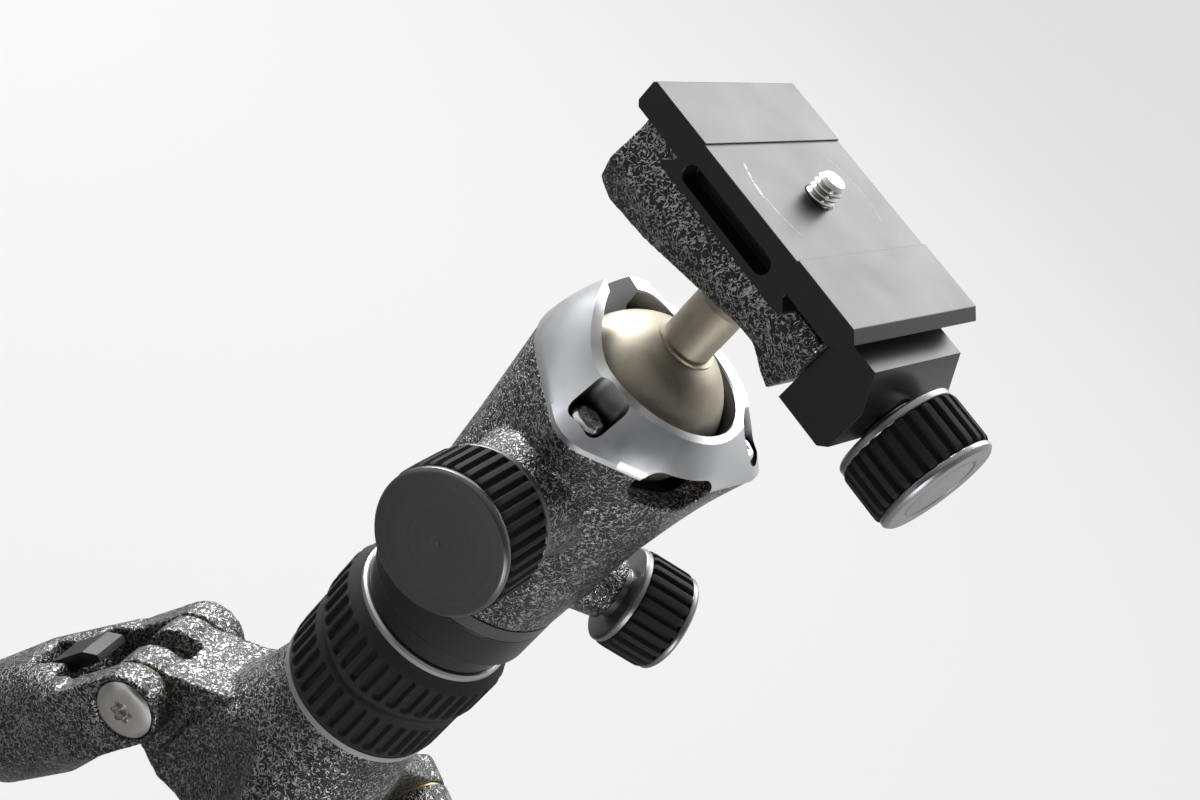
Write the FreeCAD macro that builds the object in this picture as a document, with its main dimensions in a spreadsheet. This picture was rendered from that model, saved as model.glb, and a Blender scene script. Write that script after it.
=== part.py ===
import FreeCAD, Part
import math
import os
import re

import Sketcher

# Travel tripod with a ball head, a quick-release plate and fold-back legs.
# Row frame: millimetres, +Z up along the centre column, origin on the column's
# centre line, level with the plate's top face where the camera screw stands.
# The big lock knob points to -Y. Legs stand spread on their first stop, with
# their sections pushed in.

Vector = FreeCAD.Vector
Rotation = FreeCAD.Rotation
Placement = FreeCAD.Placement
X_AXIS = Vector(1, 0, 0)
Y_AXIS = Vector(0, 1, 0)
Z_AXIS = Vector(0, 0, 1)

doc = FreeCAD.newDocument("travel_tripod")
sheet = doc.addObject("Spreadsheet::Sheet", "Sizes")

# Driving sizes: alias, value in millimetres or degrees, what it is
SIZES = [
    ("cut_margin", 1.0, "how far a cutter runs past the faces it cuts"),
    ("running_gap", 0.06, "radial clearance of a turning or sliding fit"),
    ("face_gap", 0.15, "gap between faces that turn on each other"),
    ("clear_gap", 0.3, "gap between curved neighbours that move"),
    ("edge_break", 0.5, "chamfer on turned and milled edges"),
    # Plate and screw
    ("plate_length", 61.8, "plate along the clamp's closing direction"),
    ("plate_width", 50.8, "plate along its dovetail"),
    ("plate_zone", 14.4, "half length of the lowered middle zone"),
    ("plate_step", 0.4, "height of the raised end zones"),
    ("lip_height", 5.9, "plate's lip, from the middle zone down"),
    ("lip_bevel", 1.0, "bevel under the plate's lip"),
    ("nose_length", 2.3, "nose of the plate's front lip"),
    ("nose_drop", 1.6, "depth of the nose's edge"),
    ("tail_top", 6.7, "depth where the dovetail starts to flare"),
    ("tail_low", 8.7, "depth where the dovetail is widest"),
    ("tail_bottom", 9.9, "depth of the dovetail's flat bottom"),
    ("tail_narrow", 17.2, "half width of the dovetail's neck"),
    ("tail_wide", 19.2, "half width of the dovetail"),
    ("plate_slot_length", 26.0, "long slot in the plate's side"),
    ("plate_slot_height", 4.2, "height of the side slot"),
    ("plate_slot_depth", 5.0, "how far the side slot goes in"),
    ("plate_slot_shift", -1.3, "side slot's centre from the plate's centre"),
    ("plate_slot_drop", 6.1, "side slot's centre below the middle zone"),
    ("plate_slide", -2.2, "how far the plate stands off the column's centre line"),
    ("platform_turn", -10.7, "turn of the platform about the stem"),
    ("screw_radius", 3.175, "camera screw, quarter inch"),
    ("screw_height", 5.0, "camera screw above the plate"),
    ("screw_neck", 2.7, "camera screw's plain shank in the plate"),
    ("screw_head_radius", 7.0, "camera screw's head under the plate"),
    ("screw_head_height", 3.4, "thickness of the screw's head"),
    ("screw_head_drop", 6.0, "depth of the head's seat under the middle zone"),
    ("screw_slot_width", 1.6, "driver slot in the screw's head"),
    ("screw_slot_depth", 1.4, "depth of the driver slot"),
    ("screw_sink", 0.7, "countersink round the camera screw"),
    # Platform, jaw and clamp knob
    ("bed_gap", 0.1, "plate above the platform's bed"),
    ("platform_half", 21.0, "half width of the platform along the dovetail"),
    ("platform_back", 31.0, "fixed jaw's outer face from the centre"),
    ("platform_front", 27.0, "platform's end beside the movable jaw"),
    ("stem_seat", 22.6, "depth of the stem's end inside the platform"),
    ("platform_heel", 26.6, "depth of the platform's heel beside the jaw"),
    ("heel_slope", 0.9, "how much the heel rises towards the arch"),
    ("platform_arch", 22.6, "depth of the arch before the heel"),
    ("platform_keel", 28.8, "deepest underside, near the fixed jaw"),
    ("keel_slope", 2.2, "rise of the underside at the fixed jaw"),
    ("heel_nose", 3.0, "bevel at the heel's end"),
    ("heel_end", 5.5, "where the heel's flat ends, from the platform's end"),
    ("arch_start", 11.0, "where the arch starts, from the platform's end"),
    ("arch_end", 16.0, "where the arch ends, from the platform's end"),
    ("keel_start", 15.0, "where the keel starts, from the fixed jaw's face"),
    ("keel_end", 4.0, "where the keel ends, from the fixed jaw's face"),
    ("platform_ridge", 19.6, "depth of the ridge along the platform's sides"),
    ("platform_tuck", 1.5, "how far the sides draw in under the ridge"),
    ("jaw_thickness", 13.8, "movable jaw's block"),
    ("jaw_half", 18.0, "half width of the movable jaw"),
    ("jaw_drop", 25.2, "depth of the movable jaw's lower edge"),
    ("jaw_bevel", 4.0, "upper bevel's reach on the movable jaw"),
    ("jaw_bevel_height", 7.4, "upper bevel's height"),
    ("jaw_corner", 1.8, "lower bevel of the movable jaw"),
    ("jaw_floor", 9.85, "underside of the jaw's tongue"),
    ("knob_drop", 19.5, "depth of the clamp screw's axis"),
    ("clamp_shaft_radius", 2.5, "clamp screw"),
    ("clamp_shaft_end", 18.0, "clamp screw's tip from the centre"),
    ("clamp_bore_end", 17.0, "end of the clamp screw's bore"),
    ("clamp_knob_radius", 13.4, "ribbed grip of the clamp knob"),
    ("clamp_knob_length", 16.6, "clamp knob along its axis"),
    ("knob_collar", 1.6, "neck between a knob and what it tightens"),
    ("knob_neck", 0.5, "that neck's radius as a share of the knob's"),
    ("knob_ring", 1.9, "bare metal ring at a knob's end"),
    ("knob_ring_step", 0.4, "how far that ring stays inside the grip"),
    ("rib_depth", 1.3, "depth of the grooves between ribs"),
    ("grip_wall", 1.0, "rubber under the grooves"),
    # Ball and ring
    ("ball_drop", 61.8, "ball's centre below the plate's middle zone"),
    ("ball_radius", 18.4, "ball"),
    ("ball_flat", 15.0, "flat under the ball, from its centre"),
    ("stem_radius", 5.8, "stem"),
    ("stem_flare", 0.7, "how much wider the stem's top is"),
    ("flare_height", 3.0, "height over which the stem widens"),
    ("stem_ring_radius", 6.9, "ring at the stem's root"),
    ("stem_ring_top", 17.6, "top of that ring above the ball's centre"),
    ("rim_height", -0.4, "head body's rim from the ball's centre"),
    ("ring_radius", 25.8, "retaining ring's outer edge"),
    ("ring_band", 2.2, "upright band at the ring's lower edge"),
    ("lobe_place", 25.2, "centre of the lobe round each ring screw, from the axis"),
    ("lobe_radius", 7.0, "that lobe's radius"),
    ("lobe_band", 0.8, "upright band round the lobes"),
    ("flank_top", 9.8, "where the lobes' slope meets the ring's ridge"),
    ("flank_radius", 20.9, "that ridge's radius"),
    ("ring_level", 10.6, "ring's mouth above the ball's centre"),
    ("ring_horn", 17.0, "top of the ring's horns above the ball's centre"),
    ("ring_horn_radius", 20.4, "outer radius at the horns' top"),
    ("ring_mouth", 18.7, "radius of the ring's mouth"),
    ("ring_throat", 17.9, "radius that keeps the ball in"),
    ("ring_throat_height", 7.0, "height of that throat"),
    ("throat_band", 1.0, "upright band at the throat"),
    ("ring_seat", 19.4, "radius inside the ring's lower edge"),
    ("horn_start", 9.0, "distance from the axis where the horns start to rise"),
    ("horn_azimuth", 203.0, "side towards which the ring rises"),
    ("notch_width", 14.4, "notch for the stem"),
    ("notch_depth", 6.6, "notch in the body below the ball's centre"),
    ("notch_azimuth", 175.0, "side on which the stem can lie down"),
    ("port_azimuth", 329.0, "side of the port under the ring"),
    ("port_width", 20.0, "width of that port"),
    ("port_round", 4.6, "corner radius of the port"),
    ("port_arch", 3.6, "how far the port reaches up into the ring"),
    ("pocket_size", 9.0, "side of a screw pocket in the ring"),
    ("pocket_round", 2.6, "corner radius of a screw pocket"),
    ("pocket_floor", 1.4, "pocket's floor above the ball's centre"),
    ("ring_screw_head", 3.9, "radius of a ring screw's head"),
    ("ring_screw_height", 2.6, "height of a ring screw's head"),
    ("ring_screw_dome", 1.2, "how far the head's top draws in"),
    ("ring_screw_shank", 1.5, "radius of a ring screw's shank"),
    ("ring_screw_length", 12.0, "length under the head"),
    ("ring_screw_socket", 1.7, "radius of the driver socket"),
    # Head body
    ("body_height", 60.6, "seam over the pan base, below the ball's centre"),
    ("rim_step", 0.2, "head body's rim inside the ring's edge"),
    ("body_mid_radius", 23.3, "head body where it narrows"),
    ("body_mid_drop", 26.0, "where that radius lies below the ball's centre"),
    ("body_foot_radius", 21.1, "head body over the scale ring"),
    ("body_bore", 20.0, "bore for ball and cup"),
    ("cup_floor", 16.4, "floor of that bore below the ball's centre"),
    ("cup_top", 9.0, "top of the ball's cup below the ball's centre"),
    ("cup_bore", 9.0, "hole through the cup"),
    ("scale_height", 3.6, "graduated ring"),
    ("scale_wall", 4.0, "radial thickness of the graduated ring"),
    ("core_bore", 9.0, "clearance inside the body under the cup"),
    ("core_depth", 38.0, "depth of that space below the ball's centre"),
    ("pan_spigot", 12.0, "spigot the head turns on"),
    ("pan_spigot_height", 11.0, "its height"),
    ("pan_base_height", 16.1, "pan base disc with its neck"),
    ("pan_band", 10.1, "wide band of the pan base"),
    ("pan_neck", 18.8, "radius of the neck under that band"),
    ("lock_boss_start", 14.0, "inner end of the lock knob's boss"),
    ("pan_boss_start", 16.0, "inner end of the pan knob's boss"),
    # Knobs on the head
    ("lock_drop", 22.9, "lock knob's axis below the ball's centre"),
    ("lock_boss", 12.0, "radius of the lock knob's boss"),
    ("lock_boss_root", 15.5, "radius of that boss at its root"),
    ("lock_boss_reach", 35.4, "boss's end from the column's axis"),
    ("lock_reach", 54.7, "lock knob's face from the column's axis"),
    ("lock_radius", 15.8, "lock knob's grip"),
    ("lock_shaft", 4.0, "lock knob's shaft"),
    ("lock_shaft_end", 14.0, "shaft's inner end from the column's axis"),
    ("pan_rise", 13.6, "pan knob's axis above the seam"),
    ("pan_azimuth", 29.0, "side of the pan knob"),
    ("pan_boss", 7.6, "radius of the pan knob's boss"),
    ("pan_boss_root", 9.4, "radius of that boss at its root"),
    ("pan_boss_reach", 27.4, "boss's end from the column's axis"),
    ("pan_reach", 44.2, "pan knob's face from the column's axis"),
    ("pan_radius", 12.2, "pan knob's grip"),
    ("pan_shaft", 2.5, "pan knob's shaft"),
    ("pan_shaft_end", 13.0, "shaft's inner end from the column's axis"),
    # Column and its twist collar
    ("column_radius", 12.5, "centre column's tube"),
    ("column_wall", 1.5, "its wall"),
    ("column_length", 294.8, "tube under the pan base"),
    ("neck_depth", 24.0, "pan base's neck inside the tube"),
    ("plug_radius", 14.8, "plug at the column's lower end"),
    ("plug_height", 9.0, "plug under the tube"),
    ("plug_bevel", 2.0, "bevel round the plug's lower edge"),
    ("plug_neck", 14.0, "plug inside the tube"),
    ("hook_wire", 1.6, "radius of the hook's wire"),
    ("hook_radius", 7.0, "hook's bend"),
    ("hook_shank_start", 3.84, "top of the hook's shank under its pin"),
    ("hook_shank", 6.3, "length of the hook's straight shank"),
    ("hook_eye", 4.8, "radius of the hook's eye"),
    ("hook_eye_width", 6.4, "thickness of that eye"),
    ("hook_cheek", 2.0, "thickness of each cheek beside the eye"),
    ("hook_boss", 4.0, "half width of the cheeks"),
    ("hook_eye_drop", 8.0, "hook's pivot below the plug"),
    ("hook_lug", 4.0, "half width of the slot between the hook's cheeks"),
    ("sleeve_rim", 20.6, "collar's metal rim at its lower end"),
    ("sleeve_mouth", 19.8, "collar's metal rim at its upper end"),
    ("sleeve_rim_height", 1.7, "height of a metal rim"),
    ("sleeve_core", 18.3, "collar's metal core under the rubber"),
    ("collar_height", 34.5, "collar with its rims"),
    ("grip_upper", 22.2, "upper band of the collar's rubber"),
    ("grip_lower", 21.3, "lower band of the collar's rubber"),
    ("grip_split", 15.4, "upper band's height"),
    ("grip_swell", 3.0, "height over which the rubber swells from the upper rim"),
    ("grip_bevel", 1.0, "height of the bevels between the rubber's bands"),
    # Shoulder casting
    ("spider_top_radius", 20.0, "shoulder casting under the collar"),
    ("spider_waist", 22.0, "its radius half way down"),
    ("spider_skirt", 28.0, "its widest radius"),
    ("spider_height", 57.0, "its height"),
    ("spider_neck", 5.0, "upright band under the collar"),
    ("spider_slope", 14.0, "where the casting reaches its waist, from its top"),
    ("spider_taper", 7.0, "taper at its lower end"),
    ("scoop_taper", 7.0, "how much a hollow narrows upwards"),
    ("arm_root", 14.0, "upper inner corner of an arm, from the axis"),
    ("arm_top", 12.0, "that corner's depth from the casting's top"),
    ("arm_shoulder", 24.0, "where the arm turns outwards, from the axis"),
    ("arm_drop", 22.0, "that turn's depth from the casting's top"),
    ("arm_inner", 15.5, "lower inner corner of an arm, from the axis"),
    ("scoop_radius", 24.0, "hollow between two legs"),
    ("scoop_place", 41.0, "that hollow's centre from the axis"),
    ("hinge_place", 37.8, "leg hinges from the column's axis"),
    ("hinge_drop", 151.0, "leg hinges below the ball's centre"),
    ("knuckle_radius", 9.5, "round of the hinge knuckles"),
    ("knuckle_half", 12.2, "half width of the shoulder's knuckle"),
    ("knuckle_slot", 3.6, "half width of the pocket in that knuckle"),
    ("washer_thickness", 0.5, "hinge washer"),
    ("washer_radius", 8.6, "hinge washer"),
    ("bolt_radius", 4.0, "hinge bolt's shank"),
    ("bolt_head_radius", 7.8, "hinge bolt's head"),
    ("bolt_head_height", 2.6, "hinge bolt's head"),
    ("bolt_proud", 0.6, "how far the head stands out of the ear"),
    ("bolt_socket", 2.4, "driver socket's radius"),
    ("bolt_socket_depth", 1.8, "driver socket's depth"),
    ("bolt_short", 2.0, "how far the bolt's end stays inside the far ear"),
    # Legs
    ("leg_azimuth", 188.0, "first leg"),
    ("leg_spread", 24.0, "angle of a leg from the column"),
    ("ear_width", 8.0, "one ear of a leg casting"),
    ("ear_reach", 24.0, "hinge axis to the bottom of the fork"),
    ("socket_radius", 15.8, "leg casting round the tube"),
    ("socket_start", 38.0, "tube's top from the hinge axis"),
    ("socket_end", 62.0, "lower edge of the leg casting"),
    ("neck_start", 18.0, "top of the leg casting's neck, from the hinge axis"),
    ("neck_border", 1.0, "neck's half depth beyond the knuckle's round"),
    ("neck_corner", 3.0, "corner radius at the neck's top"),
    ("neck_middle", 38.0, "where the neck reaches the tube's width"),
    ("neck_swell", 1.5, "extra half width there"),
    ("neck_round", 12.0, "corner radius there"),
    ("socket_flat", 0.1, "half of the flat left at the casting's lower edge"),
    ("tab_width", 11.0, "angle-stop tab"),
    ("tab_thickness", 4.0, "angle-stop tab"),
    ("tab_length", 15.0, "angle-stop tab"),
    ("tab_travel", 6.0, "how far the tab is pulled"),
    ("tab_place", 9.2, "tab's underside from the leg's axis"),
    ("tab_start", 14.0, "tab's nose from the hinge axis"),
    ("tab_slope", 4.0, "length of the nose's slope"),
    ("tube_one", 14.2, "first tube's radius"),
    ("tube_two", 12.3, "second tube's radius"),
    ("tube_three", 10.4, "third tube's radius"),
    ("tube_four", 8.5, "fourth tube's radius"),
    ("tube_wall", 1.3, "wall of a leg tube"),
    ("tube_step", 12.0, "how much lower each inner tube starts"),
    ("leg_length", 405.0, "hinge axis to the foot's tip"),
    ("lock_length", 26.0, "twist lock"),
    ("lock_wall", 3.2, "twist lock outside its tube"),
    ("lock_hold", 13.0, "tube's end inside its lock"),
    ("flute_depth", 0.9, "flutes round a twist lock"),
    ("lock_taper", 1.5, "how far a lock draws in at its lower end"),
    ("lock_taper_height", 2.5, "height of that taper"),
    ("lock_bevel", 1.0, "how far a lock draws in at its upper end"),
    ("lock_bevel_height", 2.0, "height of that bevel"),
    ("foot_length", 32.0, "rubber foot"),
    ("foot_radius", 11.5, "rubber foot"),
    ("foot_socket", 18.0, "last tube inside the foot"),
    ("foot_tip", 6.3, "flat under the foot"),
    ("foot_round", 10.3, "foot where its end rounds over"),
    ("foot_round_height", 3.0, "height of that rounding"),
    ("foot_body_height", 8.0, "where the foot reaches its full radius"),
    ("foot_rim", 1.0, "bevel at the foot's upper edge"),
    ("foot_rim_height", 2.0, "height of that bevel"),
]
ALIASES = {alias for alias, _, _ in SIZES}
for row, (alias, number, note) in enumerate(SIZES, start=1):
    sheet.set(f"A{row}", note)
    sheet.set(f"B{row}", str(number))
    sheet.setAlias(f"B{row}", alias)
doc.recompute()

# Counts and places that are no lengths
LEG_COUNT = 3
POCKET_AZIMUTHS = (270.0, 30.0, 130.0)
CLAMP_RIBS = 20
LOCK_RIBS = 24
PAN_RIBS = 18
LOCK_FLUTES = 16
GROOVE_SHARE = 0.42
# Width of a groove's floor over its mouth
GROOVE_FLOOR = 0.7

SUBPARTS = {}


# Sizes and expressions
def bound(text):
    """The expression with every size's name pointed at its cell."""
    return re.sub(r"[a-z_]+", lambda word: "Sizes." + word.group()
                  if word.group() in ALIASES else word.group(), str(text))


def value(text):
    """The expression's number for the sizes in the sheet."""
    return float(sheet.evalExpression(bound(text)))


def bind(obj, **properties):
    """Ties the object's properties to expressions."""
    for name, text in properties.items():
        obj.setExpression(name, bound(text))
    return obj


# Sketches and features
def new_sketch(body, role):
    """A sketch on one of the body's own origin planes."""
    sketch = body.newObject("Sketcher::SketchObject", "Sketch")
    plane = [item for item in body.Origin.OriginFeatures if item.Role == role][0]
    sketch.AttachmentSupport = [(plane, "")]
    sketch.MapMode = "FlatFace"
    return sketch


def tie(sketch, geometry, point, across, up):
    """Holds a sketch point at two expressions, measured from the sketch's origin."""
    for kind, text in (("DistanceX", across), ("DistanceY", up)):
        number = value(text)
        if abs(number) < 1e-9:
            axis = -2 if kind == "DistanceX" else -1
            sketch.addConstraint(Sketcher.Constraint("PointOnObject", geometry, point, axis))
            continue
        index = sketch.addConstraint(
            Sketcher.Constraint(kind, -1, 1, geometry, point, number))
        sketch.setExpression(f"Constraints[{index}]", bound(text))


def draw_outline(sketch, points):
    """A closed outline of straight lines through points given as expressions."""
    corners = [Vector(value(across), value(up), 0) for across, up in points]
    first = sketch.GeometryCount
    count = len(corners)
    for index, corner in enumerate(corners):
        line = Part.LineSegment(corner, corners[(index + 1) % count])
        sketch.addGeometry(line, False)
    for index in range(count):
        following = first + (index + 1) % count
        sketch.addConstraint(
            Sketcher.Constraint("Coincident", first + index, 2, following, 1))
    for index, (across, up) in enumerate(points):
        tie(sketch, first + index, 1, across, up)


def new_body(name):
    return doc.addObject("PartDesign::Body", name)


def turned(name, points):
    """A body turned about its Z axis from an outline of (radius, height) pairs."""
    body = new_body(name)
    sketch = new_sketch(body, "XZ_Plane")
    draw_outline(sketch, points)
    feature = body.newObject("PartDesign::Revolution", "Turning")
    feature.Profile = sketch
    feature.ReferenceAxis = (sketch, ["V_Axis"])
    feature.Angle = 360
    return body


def padded(name, role, points, length, symmetric=True):
    """A body padded from an outline on one of its origin planes."""
    body = new_body(name)
    sketch = new_sketch(body, role)
    draw_outline(sketch, points)
    feature = body.newObject("PartDesign::Pad", "Pad")
    feature.Profile = sketch
    bind(feature, Length=length)
    if symmetric:
        feature.SideType = "Symmetric"
    return body


def grooved(body, outer, depth, count):
    """Cuts grooves along a turned body's rim, all the way through."""
    sketch = new_sketch(body, "XY_Plane")
    reach = f"{outer} - {depth}"
    half = f"{math.pi * GROOVE_SHARE / count:.5f} * ({outer})"
    draw_outline(sketch, [
        (reach, f"-({half}) * {GROOVE_FLOOR}"),
        (f"{outer} + cut_margin", f"-({half})"),
        (f"{outer} + cut_margin", half),
        (reach, f"({half}) * {GROOVE_FLOOR}"),
    ])
    pocket = body.newObject("PartDesign::Pocket", "Groove")
    pocket.Profile = sketch
    pocket.Type = "ThroughAll"
    pocket.SideType = "Symmetric"
    pattern = body.newObject("PartDesign::PolarPattern", "Grooves")
    pattern.Originals = [pocket]
    pattern.Axis = (sketch, ["N_Axis"])
    pattern.Angle = 360
    pattern.Occurrences = count
    body.Tip = pattern
    return body


# Part primitives
def cylinder(radius, length, base=None):
    """A cylinder along Z from its base point."""
    obj = bind(doc.addObject("Part::Cylinder", "Cylinder"), Radius=radius, Height=length)
    return moved(obj, base)


def cone(low, high, length, base=None):
    """A cone along Z from its base point."""
    obj = bind(doc.addObject("Part::Cone", "Cone"), Radius1=low, Radius2=high, Height=length)
    return moved(obj, base)


def box(size, corner):
    """A box with its low corner at a point given as expressions."""
    obj = bind(doc.addObject("Part::Box", "Box"), Length=size[0], Width=size[1], Height=size[2])
    return moved(obj, corner)


def moved(obj, base):
    """Ties an object's base point to expressions, where it has one."""
    if base:
        bind(obj, **{f"Placement.Base.{axis}": text for axis, text in zip("xyz", base)})
    return obj


def fuse(*pieces):
    obj = doc.addObject("Part::MultiFuse", "Joined")
    obj.Shapes = list(pieces)
    obj.Refine = True
    return obj


def cut(base, *tools):
    """The base with every tool taken away."""
    obj = doc.addObject("Part::Cut", "Cut")
    obj.Base = base
    obj.Tool = tools[0] if len(tools) == 1 else fuse(*tools)
    obj.Refine = True
    return obj


def together(*pieces):
    """Separate solids held in one compound."""
    obj = doc.addObject("Part::Compound", "Set")
    obj.Links = list(pieces)
    return obj


def rounded(base, radius, direction):
    """Fillets the straight edges that run along a direction."""
    doc.recompute()
    obj = doc.addObject("Part::Fillet", "Rounded")
    obj.Base = base
    edges = []
    for index, edge in enumerate(base.Shape.Edges, start=1):
        if edge.Curve.TypeId != "Part::GeomLine":
            continue
        if abs(edge.tangentAt(edge.FirstParameter).dot(direction)) > 0.999:
            edges.append((index, value(radius), value(radius)))
    obj.Edges = edges
    return obj


def about_z(degrees):
    return Rotation(Z_AXIS, degrees)


def keep(label, obj, placement=None):
    """Names a finished sub-part and sets it in the row frame."""
    obj.Label = label
    obj.Placement = (placement or Placement()).multiply(obj.Placement)
    SUBPARTS[label] = obj
    return obj


# Frames: the platform's, the ball's and the pan seam's
AT_PLATFORM = Placement(Vector(), about_z(value("platform_turn")))
AT_PLATE = AT_PLATFORM.multiply(Placement(Vector(0, value("plate_slide"), 0), Rotation()))
AT_BALL = Placement(Vector(0, 0, -value("ball_drop")), Rotation())
SEAM = "ball_drop + body_height"

# The head body's rim follows the ring, and the pan knob's axis the seam
BODY_TOP = "(ring_radius - rim_step)"
PAN_DROP = "(body_height - pan_rise)"
AT_SEAM = Placement(Vector(0, 0, -value(SEAM)), Rotation())
# Local Z laid along +X, and along -Y
ALONG_X = Rotation(Y_AXIS, 90)
TOWARDS_LOCK = Rotation(X_AXIS, 90)


# Plate and camera screw
def make_plate():
    half = "plate_length / 2"
    zone = [("plate_zone", "0"), ("plate_zone", "plate_step")]
    tail = [
        ("tail_narrow", "-lip_height"),
        ("tail_narrow", "-tail_top"),
        ("tail_wide", "-tail_low"),
        ("tail_wide", "-(tail_bottom - edge_break)"),
        ("tail_wide - edge_break", "-tail_bottom"),
    ]
    nose = [
        (half, "plate_step"),
        (f"{half} + nose_length", "-nose_drop"),
        (f"{half} + lip_bevel - nose_length", "-lip_height"),
    ]
    end = [
        (f"{half} - edge_break", "plate_step"),
        (half, "plate_step - edge_break"),
        (half, "-(lip_height - lip_bevel)"),
        (f"{half} - lip_bevel", "-lip_height"),
    ]
    right = zone + nose + tail
    left = [(f"-({across})", up) for across, up in reversed(zone + end + tail)]
    plate = padded("Plate", "XZ_Plane", right + left, "plate_width")
    ends = []
    for sign in ("-", "+"):
        end = cylinder("plate_slot_height / 2", "plate_slot_depth + cut_margin")
        reach = f"plate_slot_shift {sign} (plate_slot_length - plate_slot_height) / 2"
        end.Placement = Placement(
            Vector(value(reach), -value("plate_width / 2 - plate_slot_depth"),
                   -value("plate_slot_drop")), TOWARDS_LOCK)
        ends.append(end)
    middle = box(
        ("plate_slot_length - plate_slot_height", "plate_slot_depth + cut_margin", "plate_slot_height"),
        ("plate_slot_shift - (plate_slot_length - plate_slot_height) / 2",
         "-(plate_width / 2 + 1)", "-(plate_slot_drop + plate_slot_height / 2)"))
    hole = cylinder("screw_neck + running_gap", "tail_bottom + 2 * cut_margin",
                    ("0", "0", "-(tail_bottom + cut_margin)"))
    sink = cone("screw_neck + running_gap", "screw_neck + running_gap + 2 * screw_sink",
                "2 * screw_sink", ("0", "0", "-screw_sink"))
    well = cylinder("screw_head_radius + clear_gap", "tail_bottom",
                    ("0", "0", "-(tail_bottom + screw_head_drop)"))
    return keep("quick_release_plate", cut(plate, ends[0], ends[1], middle, hole, sink, well),
                AT_PLATE)


def make_camera_screw():
    body = turned("CameraScrew", [
        ("0", "-(screw_head_drop + screw_head_height)"),
        ("screw_head_radius", "-(screw_head_drop + screw_head_height)"),
        ("screw_head_radius", "-screw_head_drop"),
        ("screw_neck", "-screw_head_drop"),
        ("screw_neck", "0"),
        ("screw_radius", "0"),
        ("screw_radius", "screw_height"),
        ("0", "screw_height"),
    ])
    slot = box(("screw_slot_width", "3 * screw_head_radius", "screw_slot_depth + cut_margin"),
               ("-screw_slot_width / 2", "-1.5 * screw_head_radius",
                "-(screw_head_drop + screw_head_height + 1)"))
    return keep("camera_screw", cut(body, slot), AT_PLATE)


# Platform with its fixed jaw
def make_platform():
    body = padded("Platform", "XZ_Plane", [
        ("-(tail_narrow + bed_gap)", "-(lip_height + clear_gap)"),
        ("-(tail_narrow + bed_gap)", "-tail_top"),
        ("-(tail_wide + bed_gap)", "-tail_low"),
        ("-(tail_wide + bed_gap)", "-(tail_bottom + bed_gap)"),
        ("platform_front", "-(tail_bottom + bed_gap)"),
        ("platform_front", "-platform_ridge"),
        ("platform_front - heel_nose", "-platform_heel"),
        ("platform_front - heel_end", "-(platform_heel - heel_slope)"),
        ("platform_front - arch_start", "-platform_arch"),
        ("platform_front - arch_end", "-platform_arch"),
        ("-(platform_back - keel_start)", "-(platform_keel - heel_slope)"),
        ("-(platform_back - keel_end)", "-platform_keel"),
        ("-platform_back", "-(platform_keel - keel_slope)"),
        ("-platform_back", "-(lip_height + clear_gap)"),
    ], "2 * platform_half")
    tucks = []
    for side in (-1, 1):
        tuck = padded("Tuck", "YZ_Plane", [
            (f"{side} * (platform_half + 1)", "-platform_ridge"),
            (f"{side} * platform_half", "-platform_ridge"),
            (f"{side} * (platform_half - platform_tuck)", "-platform_keel"),
            (f"{side} * (platform_half - platform_tuck)", "-(platform_keel + 2)"),
            (f"{side} * (platform_half + 1)", "-(platform_keel + 2)"),
        ], "3 * platform_back")
        tucks.append(tuck)
    bore = cylinder("clamp_shaft_radius + running_gap", "platform_front")
    bore.Placement = Placement(Vector(value("clamp_bore_end"), 0, -value("knob_drop")), ALONG_X)
    seat = cylinder("stem_radius + stem_flare", "stem_seat", ("0", "0", "-2 * stem_seat"))
    return keep("platform", cut(body, bore, seat, *tucks), AT_PLATFORM)


def make_movable_jaw():
    inner = "platform_front + face_gap"
    outer = "platform_front + face_gap + jaw_thickness"
    body = padded("MovableJaw", "XZ_Plane", [
        ("tail_narrow + bed_gap", "-(lip_height + clear_gap)"),
        (f"{outer} - jaw_bevel", "-(lip_height + clear_gap)"),
        (outer, "-(lip_height + clear_gap + jaw_bevel_height)"),
        (outer, "-(jaw_drop - jaw_corner)"),
        (f"{outer} - jaw_corner", "-jaw_drop"),
        (inner, "-jaw_drop"),
        (inner, "-jaw_floor"),
        ("tail_wide + bed_gap", "-jaw_floor"),
        ("tail_wide + bed_gap", "-tail_low"),
        ("tail_narrow + bed_gap", "-tail_top"),
    ], "2 * jaw_half")
    bore = cylinder("clamp_shaft_radius + running_gap", "3 * jaw_thickness")
    bore.Placement = Placement(
        Vector(value("platform_front - jaw_thickness"), 0, -value("knob_drop")), ALONG_X)
    return keep("movable_jaw", cut(body, bore), AT_PLATFORM)


def knob_outline(radius, length, shaft, shaft_length):
    """A knob's metal core: neck, ring, grip's seat, ring with a bevelled face, shaft."""
    core = f"{radius} - rib_depth - grip_wall"
    ring = f"{radius} - knob_ring_step"
    return [
        ("0", f"-({shaft_length})"),
        (shaft, f"-({shaft_length})"),
        (shaft, "0"),
        (f"{radius} * knob_neck", "0"),
        (f"{radius} * knob_neck", "knob_collar"),
        (ring, "knob_collar"),
        (ring, "knob_collar + knob_ring"),
        (core, "knob_collar + knob_ring"),
        (core, f"{length} - knob_ring"),
        (ring, f"{length} - knob_ring"),
        (ring, f"{length} - edge_break"),
        (f"{ring} - edge_break", length),
        ("0", length),
    ]


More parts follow.
